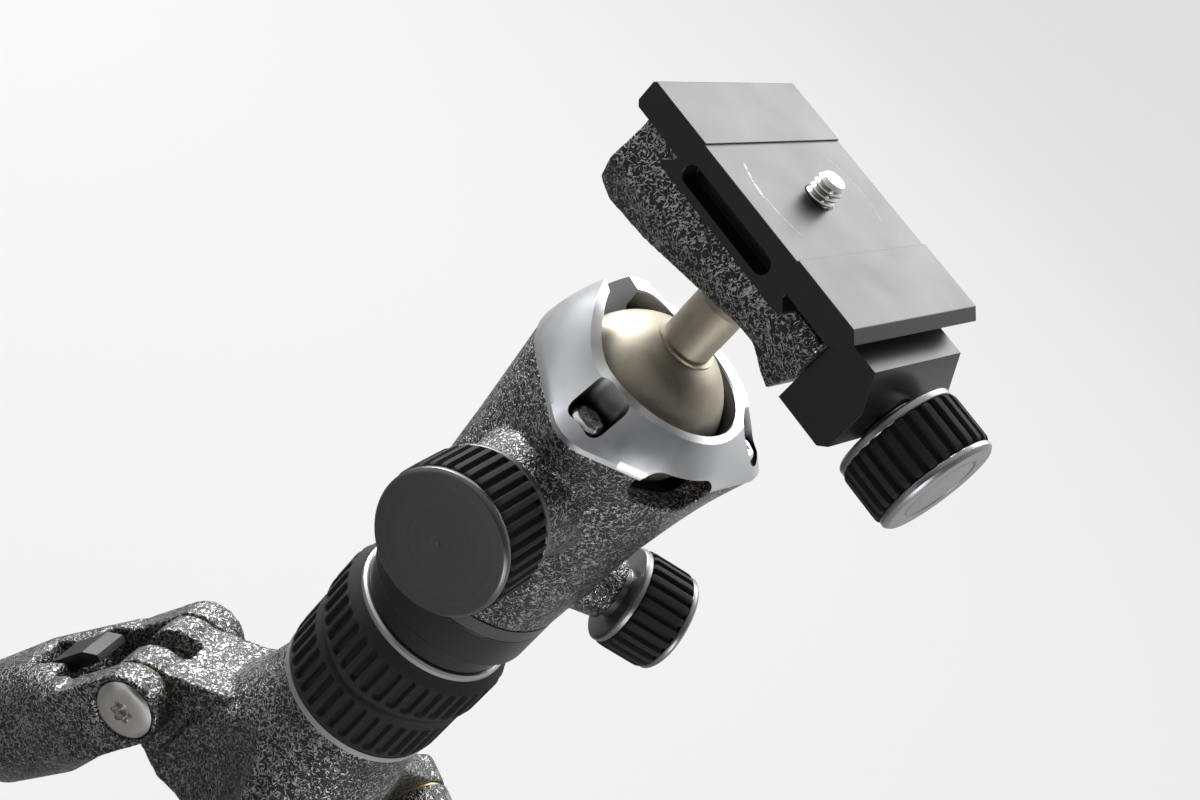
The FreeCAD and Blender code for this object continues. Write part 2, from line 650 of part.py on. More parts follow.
def make_knob(name, radius, length, shaft, shaft_length, ribs, placement):
    """A metal core and the ribbed rubber grip that sits on it."""
    core = turned(name + "Core", knob_outline(radius, length, shaft, shaft_length))
    keep(name + "_core", core, placement)
    inner = f"{radius} - rib_depth - grip_wall"
    low = "knob_collar + knob_ring"
    high = f"{length} - knob_ring"
    grip = turned(name + "Grip", [
        (inner, low),
        (f"{radius} - edge_break", low),
        (radius, f"{low} + edge_break"),
        (radius, f"{high} - edge_break"),
        (f"{radius} - edge_break", high),
        (inner, high),
    ])
    doc.recompute()
    grooved(grip, radius, "rib_depth", ribs)
    keep(name + "_grip", grip, placement)


def make_clamp_knob():
    start = "platform_front + 2 * face_gap + jaw_thickness"
    seat = Placement(Vector(value(start), 0, -value("knob_drop")), ALONG_X)
    make_knob("clamp_knob", "clamp_knob_radius", "clamp_knob_length", "clamp_shaft_radius",
              f"{start} - clamp_shaft_end", CLAMP_RIBS, AT_PLATFORM.multiply(seat))


# Ball, its cup and the ring that keeps it in
def make_ball():
    ball = bind(doc.addObject("Part::Sphere", "Ball"), Radius="ball_radius",
                Angle1="-asin(ball_flat / ball_radius)")
    ring = cylinder("stem_ring_radius", "stem_ring_top")
    stem = cylinder("stem_radius", "ball_drop - stem_seat")
    flare = cone("stem_radius", "stem_radius + stem_flare", "flare_height",
                 ("0", "0", "ball_drop - platform_keel - flare_height"))
    head = cylinder("stem_radius + stem_flare", "platform_keel - stem_seat",
                    ("0", "0", "ball_drop - platform_keel"))
    return keep("ball_and_stem", fuse(ball, ring, stem, flare, head), AT_BALL)


def make_ball_cup():
    ring = cylinder("body_bore - running_gap", "cup_floor - cup_top", ("0", "0", "-cup_floor"))
    hollow = bind(doc.addObject("Part::Sphere", "Hollow"), Radius="ball_radius + face_gap")
    hole = cylinder("cup_bore", "cup_floor", ("0", "0", "-cup_floor"))
    return keep("ball_cup", cut(ring, hollow, hole), AT_BALL)


def radial_block(reach, width, low, height, azimuth):
    """A box from the axis outwards, centred on an azimuth."""
    block = bind(doc.addObject("Part::Box", "Block"), Length=reach, Width=width, Height=height)
    turn = about_z(azimuth)
    corner = Vector(0, -value(width) / 2, value(low))
    block.Placement = Placement(turn.multVec(corner), turn)
    return block


def radial_bore(radius, length, low, azimuth):
    """A round hole from the axis outwards at a height."""
    bore = bind(doc.addObject("Part::Cylinder", "Bore"), Radius=radius, Height=length)
    turn = about_z(azimuth)
    bore.Placement = Placement(Vector(0, 0, value(low)), turn.multiply(ALONG_X))
    return bore


def belt(radius, lobe):
    """A belt round a circle and round a lobe at each ring screw: where it leaves the circle,
    where it meets the lobe, and how far from the axis that is."""
    ring = value(radius)
    small = value(lobe)
    leave = math.acos((ring - small) / value("lobe_place"))
    meeting = Vector(value("lobe_place") + small * math.cos(leave), small * math.sin(leave), 0)
    return math.degrees(leave), math.degrees(math.atan2(meeting.y, meeting.x)), meeting.Length


def lobed_outline(radius, lobe, height):
    """That belt as a closed outline at a height."""
    leave, meet, distance = belt(radius, lobe)
    ring = value(radius)
    top = value("lobe_place") + value(lobe)
    level = Vector(0, 0, value(height))

    def at(reach, degrees):
        return about_z(degrees).multVec(Vector(reach, 0, 0)) + level

    edges = []
    sides = sorted(POCKET_AZIMUTHS)
    for side, following in zip(sides, sides[1:] + [sides[0] + 360.0]):
        on, off = at(distance, side - meet), at(distance, side + meet)
        away, back = side + leave, following - leave
        edges.append(Part.LineSegment(at(ring, side - leave), on).toShape())
        edges.append(Part.Arc(on, at(top, side), off).toShape())
        edges.append(Part.LineSegment(off, at(ring, away)).toShape())
        edges.append(Part.Arc(at(ring, away), at(ring, (away + back) / 2), at(ring, back)).toShape())
    return Part.Wire(edges)


def parted_circle(radius, leave, meet, height):
    """A circle at a height, parted at the same sides as the belt, so that the two can be
    joined part by part."""
    reach = value(radius)
    level = Vector(0, 0, value(height))
    edges = []
    sides = sorted(POCKET_AZIMUTHS)
    for side, following in zip(sides, sides[1:] + [sides[0] + 360.0]):
        marks = [side - leave, side - meet, side + meet, side + leave, following - leave]
        for start, end in zip(marks, marks[1:]):
            points = [about_z(degrees).multVec(Vector(reach, 0, 0)) + level
                      for degrees in (start, (start + end) / 2, end)]
            edges.append(Part.Arc(*points).toShape())
    return Part.Wire(edges)


def lobed_loft(name, radius, lobe, heights, end_radius, end_height):
    """A solid from the belt's outline, at one height or more, to a circle."""
    leave, meet, _ = belt(radius, lobe)
    outlines = [lobed_outline(radius, lobe, height) for height in heights]
    outlines.append(parted_circle(end_radius, leave, meet, end_height))
    solid = doc.addObject("Part::Feature", name)
    solid.Shape = Part.makeLoft(outlines, True, True)
    return solid


def port_space():
    """The port's opening, which is half in the head body and half in the ring."""
    block = box(("2 * ring_radius", "port_width", "notch_depth + rim_height + port_arch"),
                ("0", "-port_width / 2", "-notch_depth"))
    space = rounded(block, "port_round", X_AXIS)
    space.Placement = Placement(Vector(), about_z(value("port_azimuth")))
    return space


def make_retaining_ring():
    body = turned("RetainingRing", [
        ("ring_seat", "rim_height"),
        ("ring_radius", "rim_height"),
        ("ring_radius", "rim_height + ring_band"),
        ("ring_horn_radius", "ring_horn"),
        ("ring_mouth", "ring_horn"),
        ("ring_mouth", "ring_level"),
        ("ring_throat", "ring_throat_height"),
        ("ring_throat", "ring_throat_height - throat_band"),
    ])
    top = padded("AboveRing", "XZ_Plane", [
        ("-2 * ring_radius", "ring_level"),
        ("horn_start", "ring_level"),
        ("ring_horn_radius", "ring_horn"),
        ("2 * ring_radius", "ring_horn"),
        ("2 * ring_radius", "2 * ring_horn"),
        ("-2 * ring_radius", "2 * ring_horn"),
    ], "4 * ring_radius")
    top.Placement = Placement(Vector(), about_z(value("horn_azimuth")))
    notch = radial_block("2 * ring_radius", "notch_width", "-ring_horn", "3 * ring_horn",
                         value("notch_azimuth"))
    pockets = []
    for azimuth in POCKET_AZIMUTHS:
        pocket = box(("pocket_size", "pocket_size", "ring_horn"),
                     ("-pocket_size / 2", "-pocket_size / 2", "0"))
        soft = rounded(pocket, "pocket_round", Z_AXIS)
        turn = about_z(azimuth)
        place = turn.multVec(Vector(value("lobe_place"), 0, value("pocket_floor")))
        soft.Placement = Placement(place, turn)
        pockets.append(soft)
        hole = cylinder("ring_screw_shank + running_gap", "ring_horn")
        hole.Placement = Placement(place - Vector(0, 0, value("ring_horn / 2")), turn)
        pockets.append(hole)
    lobes = lobed_loft("RingLobes", "ring_radius", "lobe_radius",
                       ["rim_height", "rim_height + lobe_band"], "flank_radius", "flank_top")
    mouth = cylinder("(ring_seat + flank_radius) / 2", "2 * flank_top", ("0", "0", "-flank_top / 2"))
    shape = cut(fuse(body, cut(lobes, mouth)), top, notch, port_space(), *pockets)
    return keep("retaining_ring", shape, AT_BALL)


def make_ring_screws():
    screws = []
    for azimuth in POCKET_AZIMUTHS:
        screw = turned("RingScrew", [
            ("0", "-ring_screw_length"),
            ("ring_screw_shank", "-ring_screw_length"),
            ("ring_screw_shank", "0"),
            ("ring_screw_head", "0"),
            ("ring_screw_head", "ring_screw_height / 2"),
            ("ring_screw_head - ring_screw_dome", "ring_screw_height"),
            ("ring_screw_socket", "ring_screw_height"),
            ("ring_screw_socket", "ring_screw_height / 3"),
            ("0", "ring_screw_height / 3"),
        ])
        place = about_z(azimuth).multVec(Vector(value("lobe_place"), 0, value("pocket_floor")))
        screw.Placement = Placement(place, Rotation())
        screws.append(screw)
    return keep("ring_screws", together(*screws), AT_BALL)


# Head body, scale ring and pan base
def make_head_body():
    body = turned("HeadBody", [
        ("core_bore", "-core_depth"),
        ("core_bore", "-cup_floor"),
        ("body_bore", "-cup_floor"),
        ("body_bore", "rim_height"),
        (BODY_TOP, "rim_height"),
        ("body_mid_radius", "-body_mid_drop"),
        ("body_foot_radius", "-(body_height - scale_height)"),
        ("body_foot_radius - scale_wall", "-(body_height - scale_height)"),
        ("body_foot_radius - scale_wall", "-body_height"),
        ("pan_spigot + running_gap", "-body_height"),
        ("pan_spigot + running_gap", "-(body_height - pan_spigot_height - face_gap)"),
        ("0", "-(body_height - pan_spigot_height - face_gap)"),
        ("0", "-core_depth"),
    ])
    lock_boss = cone("lock_boss_root", "lock_boss", "lock_boss_reach - lock_boss_start")
    lock_boss.Placement = Placement(
        Vector(0, -value("lock_boss_start"), -value("lock_drop")), TOWARDS_LOCK)
    pan_turn = about_z(value("pan_azimuth")).multiply(ALONG_X)
    pan_boss = cone("pan_boss_root", "pan_boss", "pan_boss_reach - pan_boss_start")
    pan_boss.Placement = Placement(
        pan_turn.multVec(Vector(0, 0, value("pan_boss_start"))) - Vector(0, 0, value(PAN_DROP)),
        pan_turn)
    keep_bore = cylinder("body_bore", "2 * cup_floor", ("0", "0", "-cup_floor"))
    lock_bore = cylinder("lock_shaft + running_gap", "lock_boss_reach + cut_margin")
    lock_bore.Placement = Placement(Vector(0, 0, -value("lock_drop")), TOWARDS_LOCK)
    pan_bore = radial_bore("pan_shaft + running_gap", "pan_boss_reach + cut_margin", f"-{PAN_DROP}",
                           value("pan_azimuth"))
    spigot = cylinder("pan_spigot + running_gap", "pan_spigot_height + face_gap",
                      ("0", "0", "-body_height"))
    notch = radial_block("2 * ring_radius", "notch_width", "notch_width / 2 - notch_depth",
                         "3 * notch_width", value("notch_azimuth"))
    notch_bed = radial_bore("notch_width / 2", "2 * ring_radius",
                            "notch_width / 2 - notch_depth", value("notch_azimuth"))
    holes = []
    for azimuth in POCKET_AZIMUTHS:
        hole = cylinder("ring_screw_shank + running_gap", "ring_screw_length")
        place = about_z(azimuth).multVec(Vector(value("lobe_place"), 0, value("pocket_floor")))
        hole.Placement = Placement(place - Vector(0, 0, value("ring_screw_length")), Rotation())
        holes.append(hole)
    lobes = lobed_loft("BodyLobes", BODY_TOP, "lobe_radius - rim_step", ["rim_height"],
                       "body_mid_radius", "-body_mid_drop")
    core = cylinder("body_bore", "2 * body_mid_drop", ("0", "0", "-1.5 * body_mid_drop"))
    shape = cut(fuse(body, lock_boss, pan_boss, cut(lobes, core)), keep_bore, lock_bore, pan_bore,
                spigot, notch, notch_bed, port_space(), *holes)
    return keep("head_body", shape, AT_BALL)


def make_scale_ring():
    inner = "body_foot_radius - scale_wall"
    body = turned("ScaleRing", [
        (inner, "0"),
        ("body_foot_radius", "0"),
        ("body_foot_radius", "scale_height"),
        (inner, "scale_height"),
    ])
    return keep("scale_ring", body, AT_SEAM)


def make_pan_base():
    neck = "column_radius - column_wall"
    body = turned("PanBase", [
        ("0", "-(pan_base_height + neck_depth)"),
        (neck, "-(pan_base_height + neck_depth)"),
        (neck, "-pan_base_height"),
        ("pan_neck", "-pan_base_height"),
        ("pan_neck", "-pan_band"),
        ("body_foot_radius - edge_break", "-pan_band"),
        ("body_foot_radius", "-(pan_band - edge_break)"),
        ("body_foot_radius", "-face_gap"),
        ("pan_spigot", "-face_gap"),
        ("pan_spigot", "pan_spigot_height"),
        ("0", "pan_spigot_height"),
    ])
    return keep("pan_base", body, AT_SEAM)


def make_lock_knob():
    reach = "lock_boss_reach + face_gap"
    place = Placement(Vector(0, -value(reach), -value("ball_drop + lock_drop")), TOWARDS_LOCK)
    make_knob("lock_knob", "lock_radius", f"lock_reach - ({reach})", "lock_shaft",
              f"{reach} - lock_shaft_end", LOCK_RIBS, place)


def make_pan_knob():
    reach = "pan_boss_reach + face_gap"
    turn = about_z(value("pan_azimuth")).multiply(ALONG_X)
    point = turn.multVec(Vector(0, 0, value(reach))) - Vector(0, 0, value(f"ball_drop + {PAN_DROP}"))
    make_knob("pan_knob", "pan_radius", f"pan_reach - ({reach})", "pan_shaft",
              f"{reach} - pan_shaft_end", PAN_RIBS, Placement(point, turn))


# Column, plug and hook
COLUMN_END = "pan_base_height + column_length"


def make_column():
    inner = "column_radius - column_wall"
    body = turned("Column", [
        (inner, f"-({COLUMN_END})"),
        ("column_radius", f"-({COLUMN_END})"),
        ("column_radius", "-pan_base_height"),
        (inner, "-pan_base_height"),
    ])
    return keep("column_tube", body, AT_SEAM)


def make_plug():
    inner = "column_radius - column_wall"
    body = turned("Plug", [
        ("0", f"-({COLUMN_END} + plug_height)"),
        ("plug_radius - plug_bevel", f"-({COLUMN_END} + plug_height)"),
        ("plug_radius", f"-({COLUMN_END} + plug_height - plug_bevel)"),
        ("plug_radius", f"-({COLUMN_END})"),
        (inner, f"-({COLUMN_END})"),
        (inner, f"-({COLUMN_END} - plug_neck)"),
        ("0", f"-({COLUMN_END} - plug_neck)"),
    ])
    foot = f"{COLUMN_END} + plug_height + hook_eye_drop + 2 * hook_wire"
    cheeks = box(("2 * (hook_lug + hook_cheek)", "2 * hook_boss", "hook_eye_drop + 3 * hook_wire"),
                 ("-(hook_lug + hook_cheek)", "-hook_boss", f"-({foot})"))
    slot = box(("2 * hook_lug", "3 * hook_boss", "hook_eye_drop + 2 * hook_wire"),
               ("-hook_lug", "-1.5 * hook_boss", f"-({foot} + cut_margin)"))
    pin = cylinder("hook_wire", "2 * (hook_lug + hook_cheek)")
    pin.Placement = Placement(
        Vector(-value("hook_lug + hook_cheek"), 0,
               -value(f"{COLUMN_END} + plug_height + hook_eye_drop")), ALONG_X)
    return keep("column_plug", fuse(cut(fuse(body, cheeks), slot), pin), AT_SEAM)


def make_hook():
    """An eye on the pin, a shank and an open bend, in the plane across the pin."""
    wire = value("hook_wire")
    bend = value("hook_radius")
    eye = cut(cylinder("hook_eye", "hook_eye_width", ("0", "0", "-hook_eye_width / 2")),
              cylinder("hook_wire + running_gap", "2 * hook_lug", ("0", "0", "-hook_lug")))
    shank_start = Vector(0, 0, -value("hook_shank_start"))
    shank_end = shank_start - Vector(0, 0, value("hook_shank"))
    middle = shank_end + Vector(0, bend, -bend)
    tip = shank_end + Vector(0, 2 * bend, 0)
    path = Part.Wire([
        Part.LineSegment(shank_start, shank_end).toShape(),
        Part.Arc(shank_end, middle, tip).toShape(),
    ])
    section = Part.Wire([Part.Circle(shank_start, Z_AXIS, wire).toShape()])
    bar = doc.addObject("Part::Feature", "HookBar")
    bar.Shape = path.makePipeShell([section], True, False)
    eye.Placement = Placement(Vector(), ALONG_X)
    drop = value(f"{COLUMN_END} + plug_height + hook_eye_drop")
    return keep("hook", fuse(eye, bar), AT_SEAM.multiply(Placement(Vector(0, 0, -drop), Rotation())))


# Twist collar on the shoulder
COLLAR_TOP = "pan_base_height + clear_gap"


def make_collar():
    bore = "column_radius + running_gap"
    low = f"{COLLAR_TOP} + collar_height"
    sleeve = turned("Sleeve", [
        (bore, f"-({low})"),
        ("sleeve_rim", f"-({low})"),
        ("sleeve_rim", f"-({low} - sleeve_rim_height)"),
        ("sleeve_core", f"-({low} - sleeve_rim_height)"),
        ("sleeve_core", f"-({COLLAR_TOP} + sleeve_rim_height)"),
        ("sleeve_mouth", f"-({COLLAR_TOP} + sleeve_rim_height)"),
        ("sleeve_mouth", f"-({COLLAR_TOP} + edge_break)"),
        ("sleeve_mouth - edge_break", f"-({COLLAR_TOP})"),
        (bore, f"-({COLLAR_TOP})"),
    ])
    keep("collar_sleeve", sleeve, AT_SEAM)
    upper = f"{COLLAR_TOP} + sleeve_rim_height"
    split = f"{upper} + grip_split"
    lower = f"{low} - sleeve_rim_height"
    grip = turned("CollarGrip", [
        ("sleeve_core", f"-({lower})"),
        ("grip_lower - edge_break", f"-({lower})"),
        ("grip_lower", f"-({lower} - grip_bevel)"),
        ("grip_lower", f"-({split} + grip_bevel)"),
        ("grip_lower - edge_break", f"-({split})"),
        ("grip_upper", f"-({split} - grip_bevel)"),
        ("grip_upper", f"-({upper} + grip_swell)"),
        ("sleeve_mouth", f"-({upper})"),
        ("sleeve_core", f"-({upper})"),
    ])
    keep("collar_grip", grip, AT_SEAM)


# Shoulder casting, hinge bolts and washers
SPIDER_TOP = f"{COLLAR_TOP} + collar_height + face_gap"
HINGE_DROP = "hinge_drop - body_height"


def leg_azimuths():
    return [value("leg_azimuth") + 360.0 * index / LEG_COUNT for index in range(LEG_COUNT)]


def make_spider():
    top = SPIDER_TOP
    low = f"{top} + spider_height"
    body = turned("Spider", [
        ("0", f"-({low})"),
        ("spider_waist", f"-({low})"),
        ("spider_skirt", f"-({low} - spider_taper)"),
        ("spider_skirt", f"-({HINGE_DROP} - knuckle_radius / 2)"),
        ("spider_waist", f"-({top} + spider_slope)"),
        ("spider_top_radius", f"-({top} + spider_neck)"),
        ("spider_top_radius", f"-({top})"),
        ("0", f"-({top})"),
    ])
    scoops = []
    for azimuth in leg_azimuths():
        turn = about_z(azimuth + 180.0 / LEG_COUNT)
        scoop = cone("scoop_radius", "scoop_radius - scoop_taper", "spider_height + 2 * cut_margin")
        place = turn.multVec(Vector(value("scoop_place"), 0, -value(f"{low} + cut_margin")))
        scoop.Placement = Placement(place, turn)
        scoops.append(scoop)
    knuckles = []
    cuts = []
    for azimuth in leg_azimuths():
        turn = about_z(azimuth)
        arm = padded("Arm", "XZ_Plane", [
            ("arm_root", f"-({top} + arm_top)"),
            ("arm_shoulder", f"-({top} + arm_drop)"),
            ("hinge_place", f"-({HINGE_DROP} - knuckle_radius)"),
            ("hinge_place", f"-({HINGE_DROP} + knuckle_radius)"),
            ("spider_waist", f"-({low})"),
            ("arm_inner", f"-({low})"),
        ], "2 * knuckle_half")
        arm.Placement = Placement(Vector(), turn)
        across = turn.multiply(Rotation(X_AXIS, 90))
        centre = turn.multVec(Vector(value("hinge_place"), 0, -value(HINGE_DROP)))
        offset = turn.multVec(Vector(0, value("knuckle_half"), 0))
        knuckle = cylinder("knuckle_radius", "2 * knuckle_half")
        knuckle.Placement = Placement(centre + offset, across)
        knuckles += [arm, knuckle]
        hole = cylinder("bolt_radius", "4 * knuckle_half")
        hole.Placement = Placement(centre + 2 * offset, across)
        slot = bind(doc.addObject("Part::Box", "Slot"), Length="2 * knuckle_radius",
                    Width="2 * knuckle_slot", Height="2 * (knuckle_radius + cut_margin)")
        corner = Vector(value("hinge_place - knuckle_radius / 2"), -value("knuckle_slot"),
                        -value(f"{HINGE_DROP} + knuckle_radius + cut_margin"))
        slot.Placement = Placement(turn.multVec(corner), turn)
        cuts += [hole, slot]
    bore = cylinder("column_radius + running_gap", "spider_height + 2 * cut_margin",
                    ("0", "0", f"-({low} + 1)"))
    shape = cut(fuse(cut(body, *scoops), *knuckles), bore, *cuts)
    return keep("shoulder_casting", shape, AT_SEAM)


def make_hinge_fasteners():
    """Bolts through ears and knuckle, and the washers between them."""
    outer = "knuckle_half + washer_thickness + ear_width"
    bolts = []
    washers = []
    for azimuth in leg_azimuths():
        turn = about_z(azimuth)
        centre = turn.multVec(Vector(value("hinge_place"), 0, -value(HINGE_DROP)))
        towards = turn.multiply(Rotation(X_AXIS, -90))
        bolt = turned("HingeBolt", [
            ("0", f"-({outer} - bolt_short)"),
            ("bolt_radius", f"-({outer} - bolt_short)"),
            ("bolt_radius", f"{outer} + bolt_proud - bolt_head_height"),
            ("bolt_head_radius", f"{outer} + bolt_proud - bolt_head_height"),
            ("bolt_head_radius", f"{outer} + bolt_proud - edge_break"),
            ("bolt_head_radius - edge_break", f"{outer} + bolt_proud"),
            ("bolt_socket", f"{outer} + bolt_proud"),
            ("bolt_socket", f"{outer} + bolt_proud - bolt_socket_depth"),
            ("0", f"{outer} + bolt_proud - bolt_socket_depth"),
        ])
        bolt.Placement = Placement(centre, towards)
        bolts.append(bolt)
        for side in ("knuckle_half", "-(knuckle_half + washer_thickness)"):
            washer = cut(cylinder("washer_radius", "washer_thickness"),
                         cylinder("bolt_radius", "washer_thickness + 2 * cut_margin", ("0", "0", "-cut_margin")))
            along = towards.multVec(Vector(0, 0, value(side)))
            washer.Placement = Placement(centre + along, towards)
            washers.append(washer)
    keep("hinge_bolts", together(*bolts), AT_SEAM)
    keep("hinge_washers", together(*washers), AT_SEAM)


# Legs, each in its own frame: origin on the hinge axis, hinge along Y, tube along -Z
def leg_place(azimuth):
    turn = about_z(azimuth)
    point = turn.multVec(Vector(value("hinge_place"), 0, -value("ball_drop + hinge_drop")))
    return Placement(point, turn.multiply(Rotation(Y_AXIS, -value("leg_spread"))))


def soft_rectangle(half_x, half_y, corner, height):
    """A rectangle with round corners, as a wire at a height."""
    lines = []
    points = []
    for sign_x, sign_y in ((1, 1), (-1, 1), (-1, -1), (1, -1)):
        centre = Vector(sign_x * (half_x - corner), sign_y * (half_y - corner), height)
        along = Vector(sign_x * corner, 0, 0)
        aside = Vector(0, sign_y * corner, 0)
        diagonal = (along + aside) * math.sqrt(0.5)
        ends = [centre + along, centre + diagonal, centre + aside]
        if sign_x * sign_y < 0:
            ends.reverse()
        points.append(ends)
    for index, (start, middle, end) in enumerate(points):
        lines.append(Part.Arc(start, middle, end).toShape())
        following = points[(index + 1) % 4][0]
        lines.append(Part.LineSegment(end, following).toShape())
    return Part.Wire(lines)


def make_leg_casting(label, placement):
    half = value("knuckle_half + washer_thickness + ear_width")
    neck = doc.addObject("Part::Feature", "CastingNeck")
    neck.Shape = Part.makeLoft([
        soft_rectangle(value("knuckle_radius + neck_border"), half, value("neck_corner"),
                       -value("neck_start")),
        soft_rectangle(value("socket_radius"), value("socket_radius + neck_swell"),
                       value("neck_round"), -value("neck_middle")),
        soft_rectangle(value("socket_radius"), value("socket_radius + socket_flat"),
                       value("socket_radius - 2 * socket_flat"), -value("socket_end")),
    ], True, True)
    ears = []
    for side in ("knuckle_half + washer_thickness", f"-(knuckle_half + washer_thickness + ear_width)"):
        round_end = cylinder("knuckle_radius", "ear_width")
        round_end.Placement = Placement(Vector(0, value(side), 0), Rotation(X_AXIS, -90))
        slab = box(("2 * knuckle_radius", "ear_width", "ear_reach"),
                   ("-knuckle_radius", side, "-ear_reach"))
        ears += [round_end, slab]
    fork = box(("4 * knuckle_radius", "2 * (knuckle_half + washer_thickness)", "ear_reach"),
               ("-2 * knuckle_radius", "-(knuckle_half + washer_thickness)", "-ear_reach"))
    bore = cylinder("bolt_radius + running_gap", "6 * knuckle_half")
    bore.Placement = Placement(Vector(0, value("3 * knuckle_half"), 0), Rotation(X_AXIS, 90))
    sink = cylinder("bolt_head_radius + clear_gap", "ear_width")
    outer = value("knuckle_half + washer_thickness + ear_width + bolt_proud - bolt_head_height")
    sink.Placement = Placement(Vector(0, outer, 0), Rotation(X_AXIS, -90))
    socket = cylinder("tube_one", "socket_end", ("0", "0", "-(socket_start + socket_end)"))
    window = box(("socket_radius", "tab_width + 2 * clear_gap", "tab_length + 2 * tab_travel"),
                 ("tab_place - clear_gap", "-(tab_width / 2 + clear_gap)",
                  "-(tab_start + tab_length + tab_travel + clear_gap)"))
    shape = cut(fuse(cut(neck, fork), *ears), bore, sink, socket, window)
    return keep(label, shape, placement)


def make_angle_tab(label, placement):
    body = padded("AngleTab", "XZ_Plane", [
        ("tab_place", "-(tab_start + tab_length)"),
        ("tab_place + tab_thickness", "-(tab_start + tab_length)"),
        ("tab_place + tab_thickness", "-(tab_start + tab_slope)"),
        ("tab_place + tab_thickness / 2", "-tab_start"),
        ("tab_place", "-tab_start"),
    ], "tab_width")
    return keep(label, body, placement)


# Where the locks start, measured from the hinge axis
LOCK_PITCH = "lock_length + clear_gap"
FOOT_TOP = "leg_length - foot_length"


def lock_top(index):
    """The lock's upper edge from the hinge axis; the first lock is the highest."""
    return f"{FOOT_TOP} - {3 - index} * ({LOCK_PITCH})"


TUBES = ("tube_one", "tube_two", "tube_three", "tube_four")


def tube_end(index):
    if index == len(TUBES) - 1:
        return f"{FOOT_TOP} + foot_socket"
    return f"{lock_top(index)} + lock_hold"


def make_tube(label, index, placement):
    radius = TUBES[index]
    start = f"socket_start + {index} * tube_step"
    end = tube_end(index)
    body = turned("Tube", [
        (f"{radius} - tube_wall", f"-({end})"),
        (radius, f"-({end})"),
        (radius, f"-({start})"),
        (f"{radius} - tube_wall", f"-({start})"),
    ])
    return keep(label, body, placement)


def make_lock(label, index, placement):
    """A twist lock: it holds the upper tube's end and lets the next tube through."""
    top = lock_top(index)
    upper = f"{TUBES[index]} + running_gap"
    lower = f"{TUBES[index + 1]} + running_gap"
    outer = f"{TUBES[index]} + lock_wall"
    body = turned("TwistLock", [
        (lower, f"-({top} + lock_length)"),
        (f"{outer} - lock_taper", f"-({top} + lock_length)"),
        (outer, f"-({top} + lock_length - lock_taper_height)"),
        (outer, f"-({top} + lock_bevel_height)"),
        (f"{outer} - lock_bevel", f"-({top})"),
        (upper, f"-({top})"),
        (upper, f"-({top} + lock_hold + face_gap)"),
        (lower, f"-({top} + lock_hold + face_gap)"),
    ])
    doc.recompute()
    grooved(body, outer, "flute_depth", LOCK_FLUTES)
    return keep(label, body, placement)


def make_foot(label, placement):
    body = turned("Foot", [
        ("0", "-leg_length"),
        ("foot_tip", "-leg_length"),
        ("foot_round", "-(leg_length - foot_round_height)"),
        ("foot_radius", "-(leg_length - foot_body_height)"),
        ("foot_radius", f"-({FOOT_TOP} + clear_gap + foot_rim_height)"),
        ("foot_radius - foot_rim", f"-({FOOT_TOP} + clear_gap)"),
        ("tube_four", f"-({FOOT_TOP} + clear_gap)"),
        ("tube_four", f"-({FOOT_TOP} + foot_socket)"),
        ("0", f"-({FOOT_TOP} + foot_socket)"),
    ])
    return keep(label, body, placement)


def make_leg(number, azimuth):
    placement = leg_place(azimuth)
    prefix = f"leg_{number}_"
    make_leg_casting(prefix + "casting", placement)
    make_angle_tab(prefix + "angle_tab", placement)
    for index in range(len(TUBES)):
        make_tube(f"{prefix}tube_{index + 1}", index, placement)
    for index in range(len(TUBES) - 1):
        make_lock(f"{prefix}lock_{index + 1}", index, placement)
    make_foot(prefix + "foot", placement)


make_plate()
make_camera_screw()
make_platform()
make_movable_jaw()
make_clamp_knob()
make_ball()
make_ball_cup()
make_retaining_ring()
make_ring_screws()
make_head_body()
make_scale_ring()
make_pan_base()
make_lock_knob()
make_pan_knob()
make_column()
make_plug()
make_hook()
make_collar()
make_spider()
make_hinge_fasteners()
for leg_index, leg_side in enumerate(leg_azimuths(), start=1):
    make_leg(leg_index, leg_side)
doc.recompute()

# Nothing is written unless every object and every sub-part is sound
for item in doc.Objects:
    if "Invalid" in item.State or "Error" in item.State:
        raise RuntimeError(f"{item.Label} failed: {item.State}")
for node, item in SUBPARTS.items():
    if item.Shape.isNull() or not item.Shape.isValid():
        raise RuntimeError(f"{node} has no valid shape")

os.makedirs("parts", exist_ok=True)
for node, item in SUBPARTS.items():
    item.Shape.exportStep(os.path.join("parts", node + ".step"))
    print(node, len(item.Shape.Solids), round(item.Shape.Volume, 1))
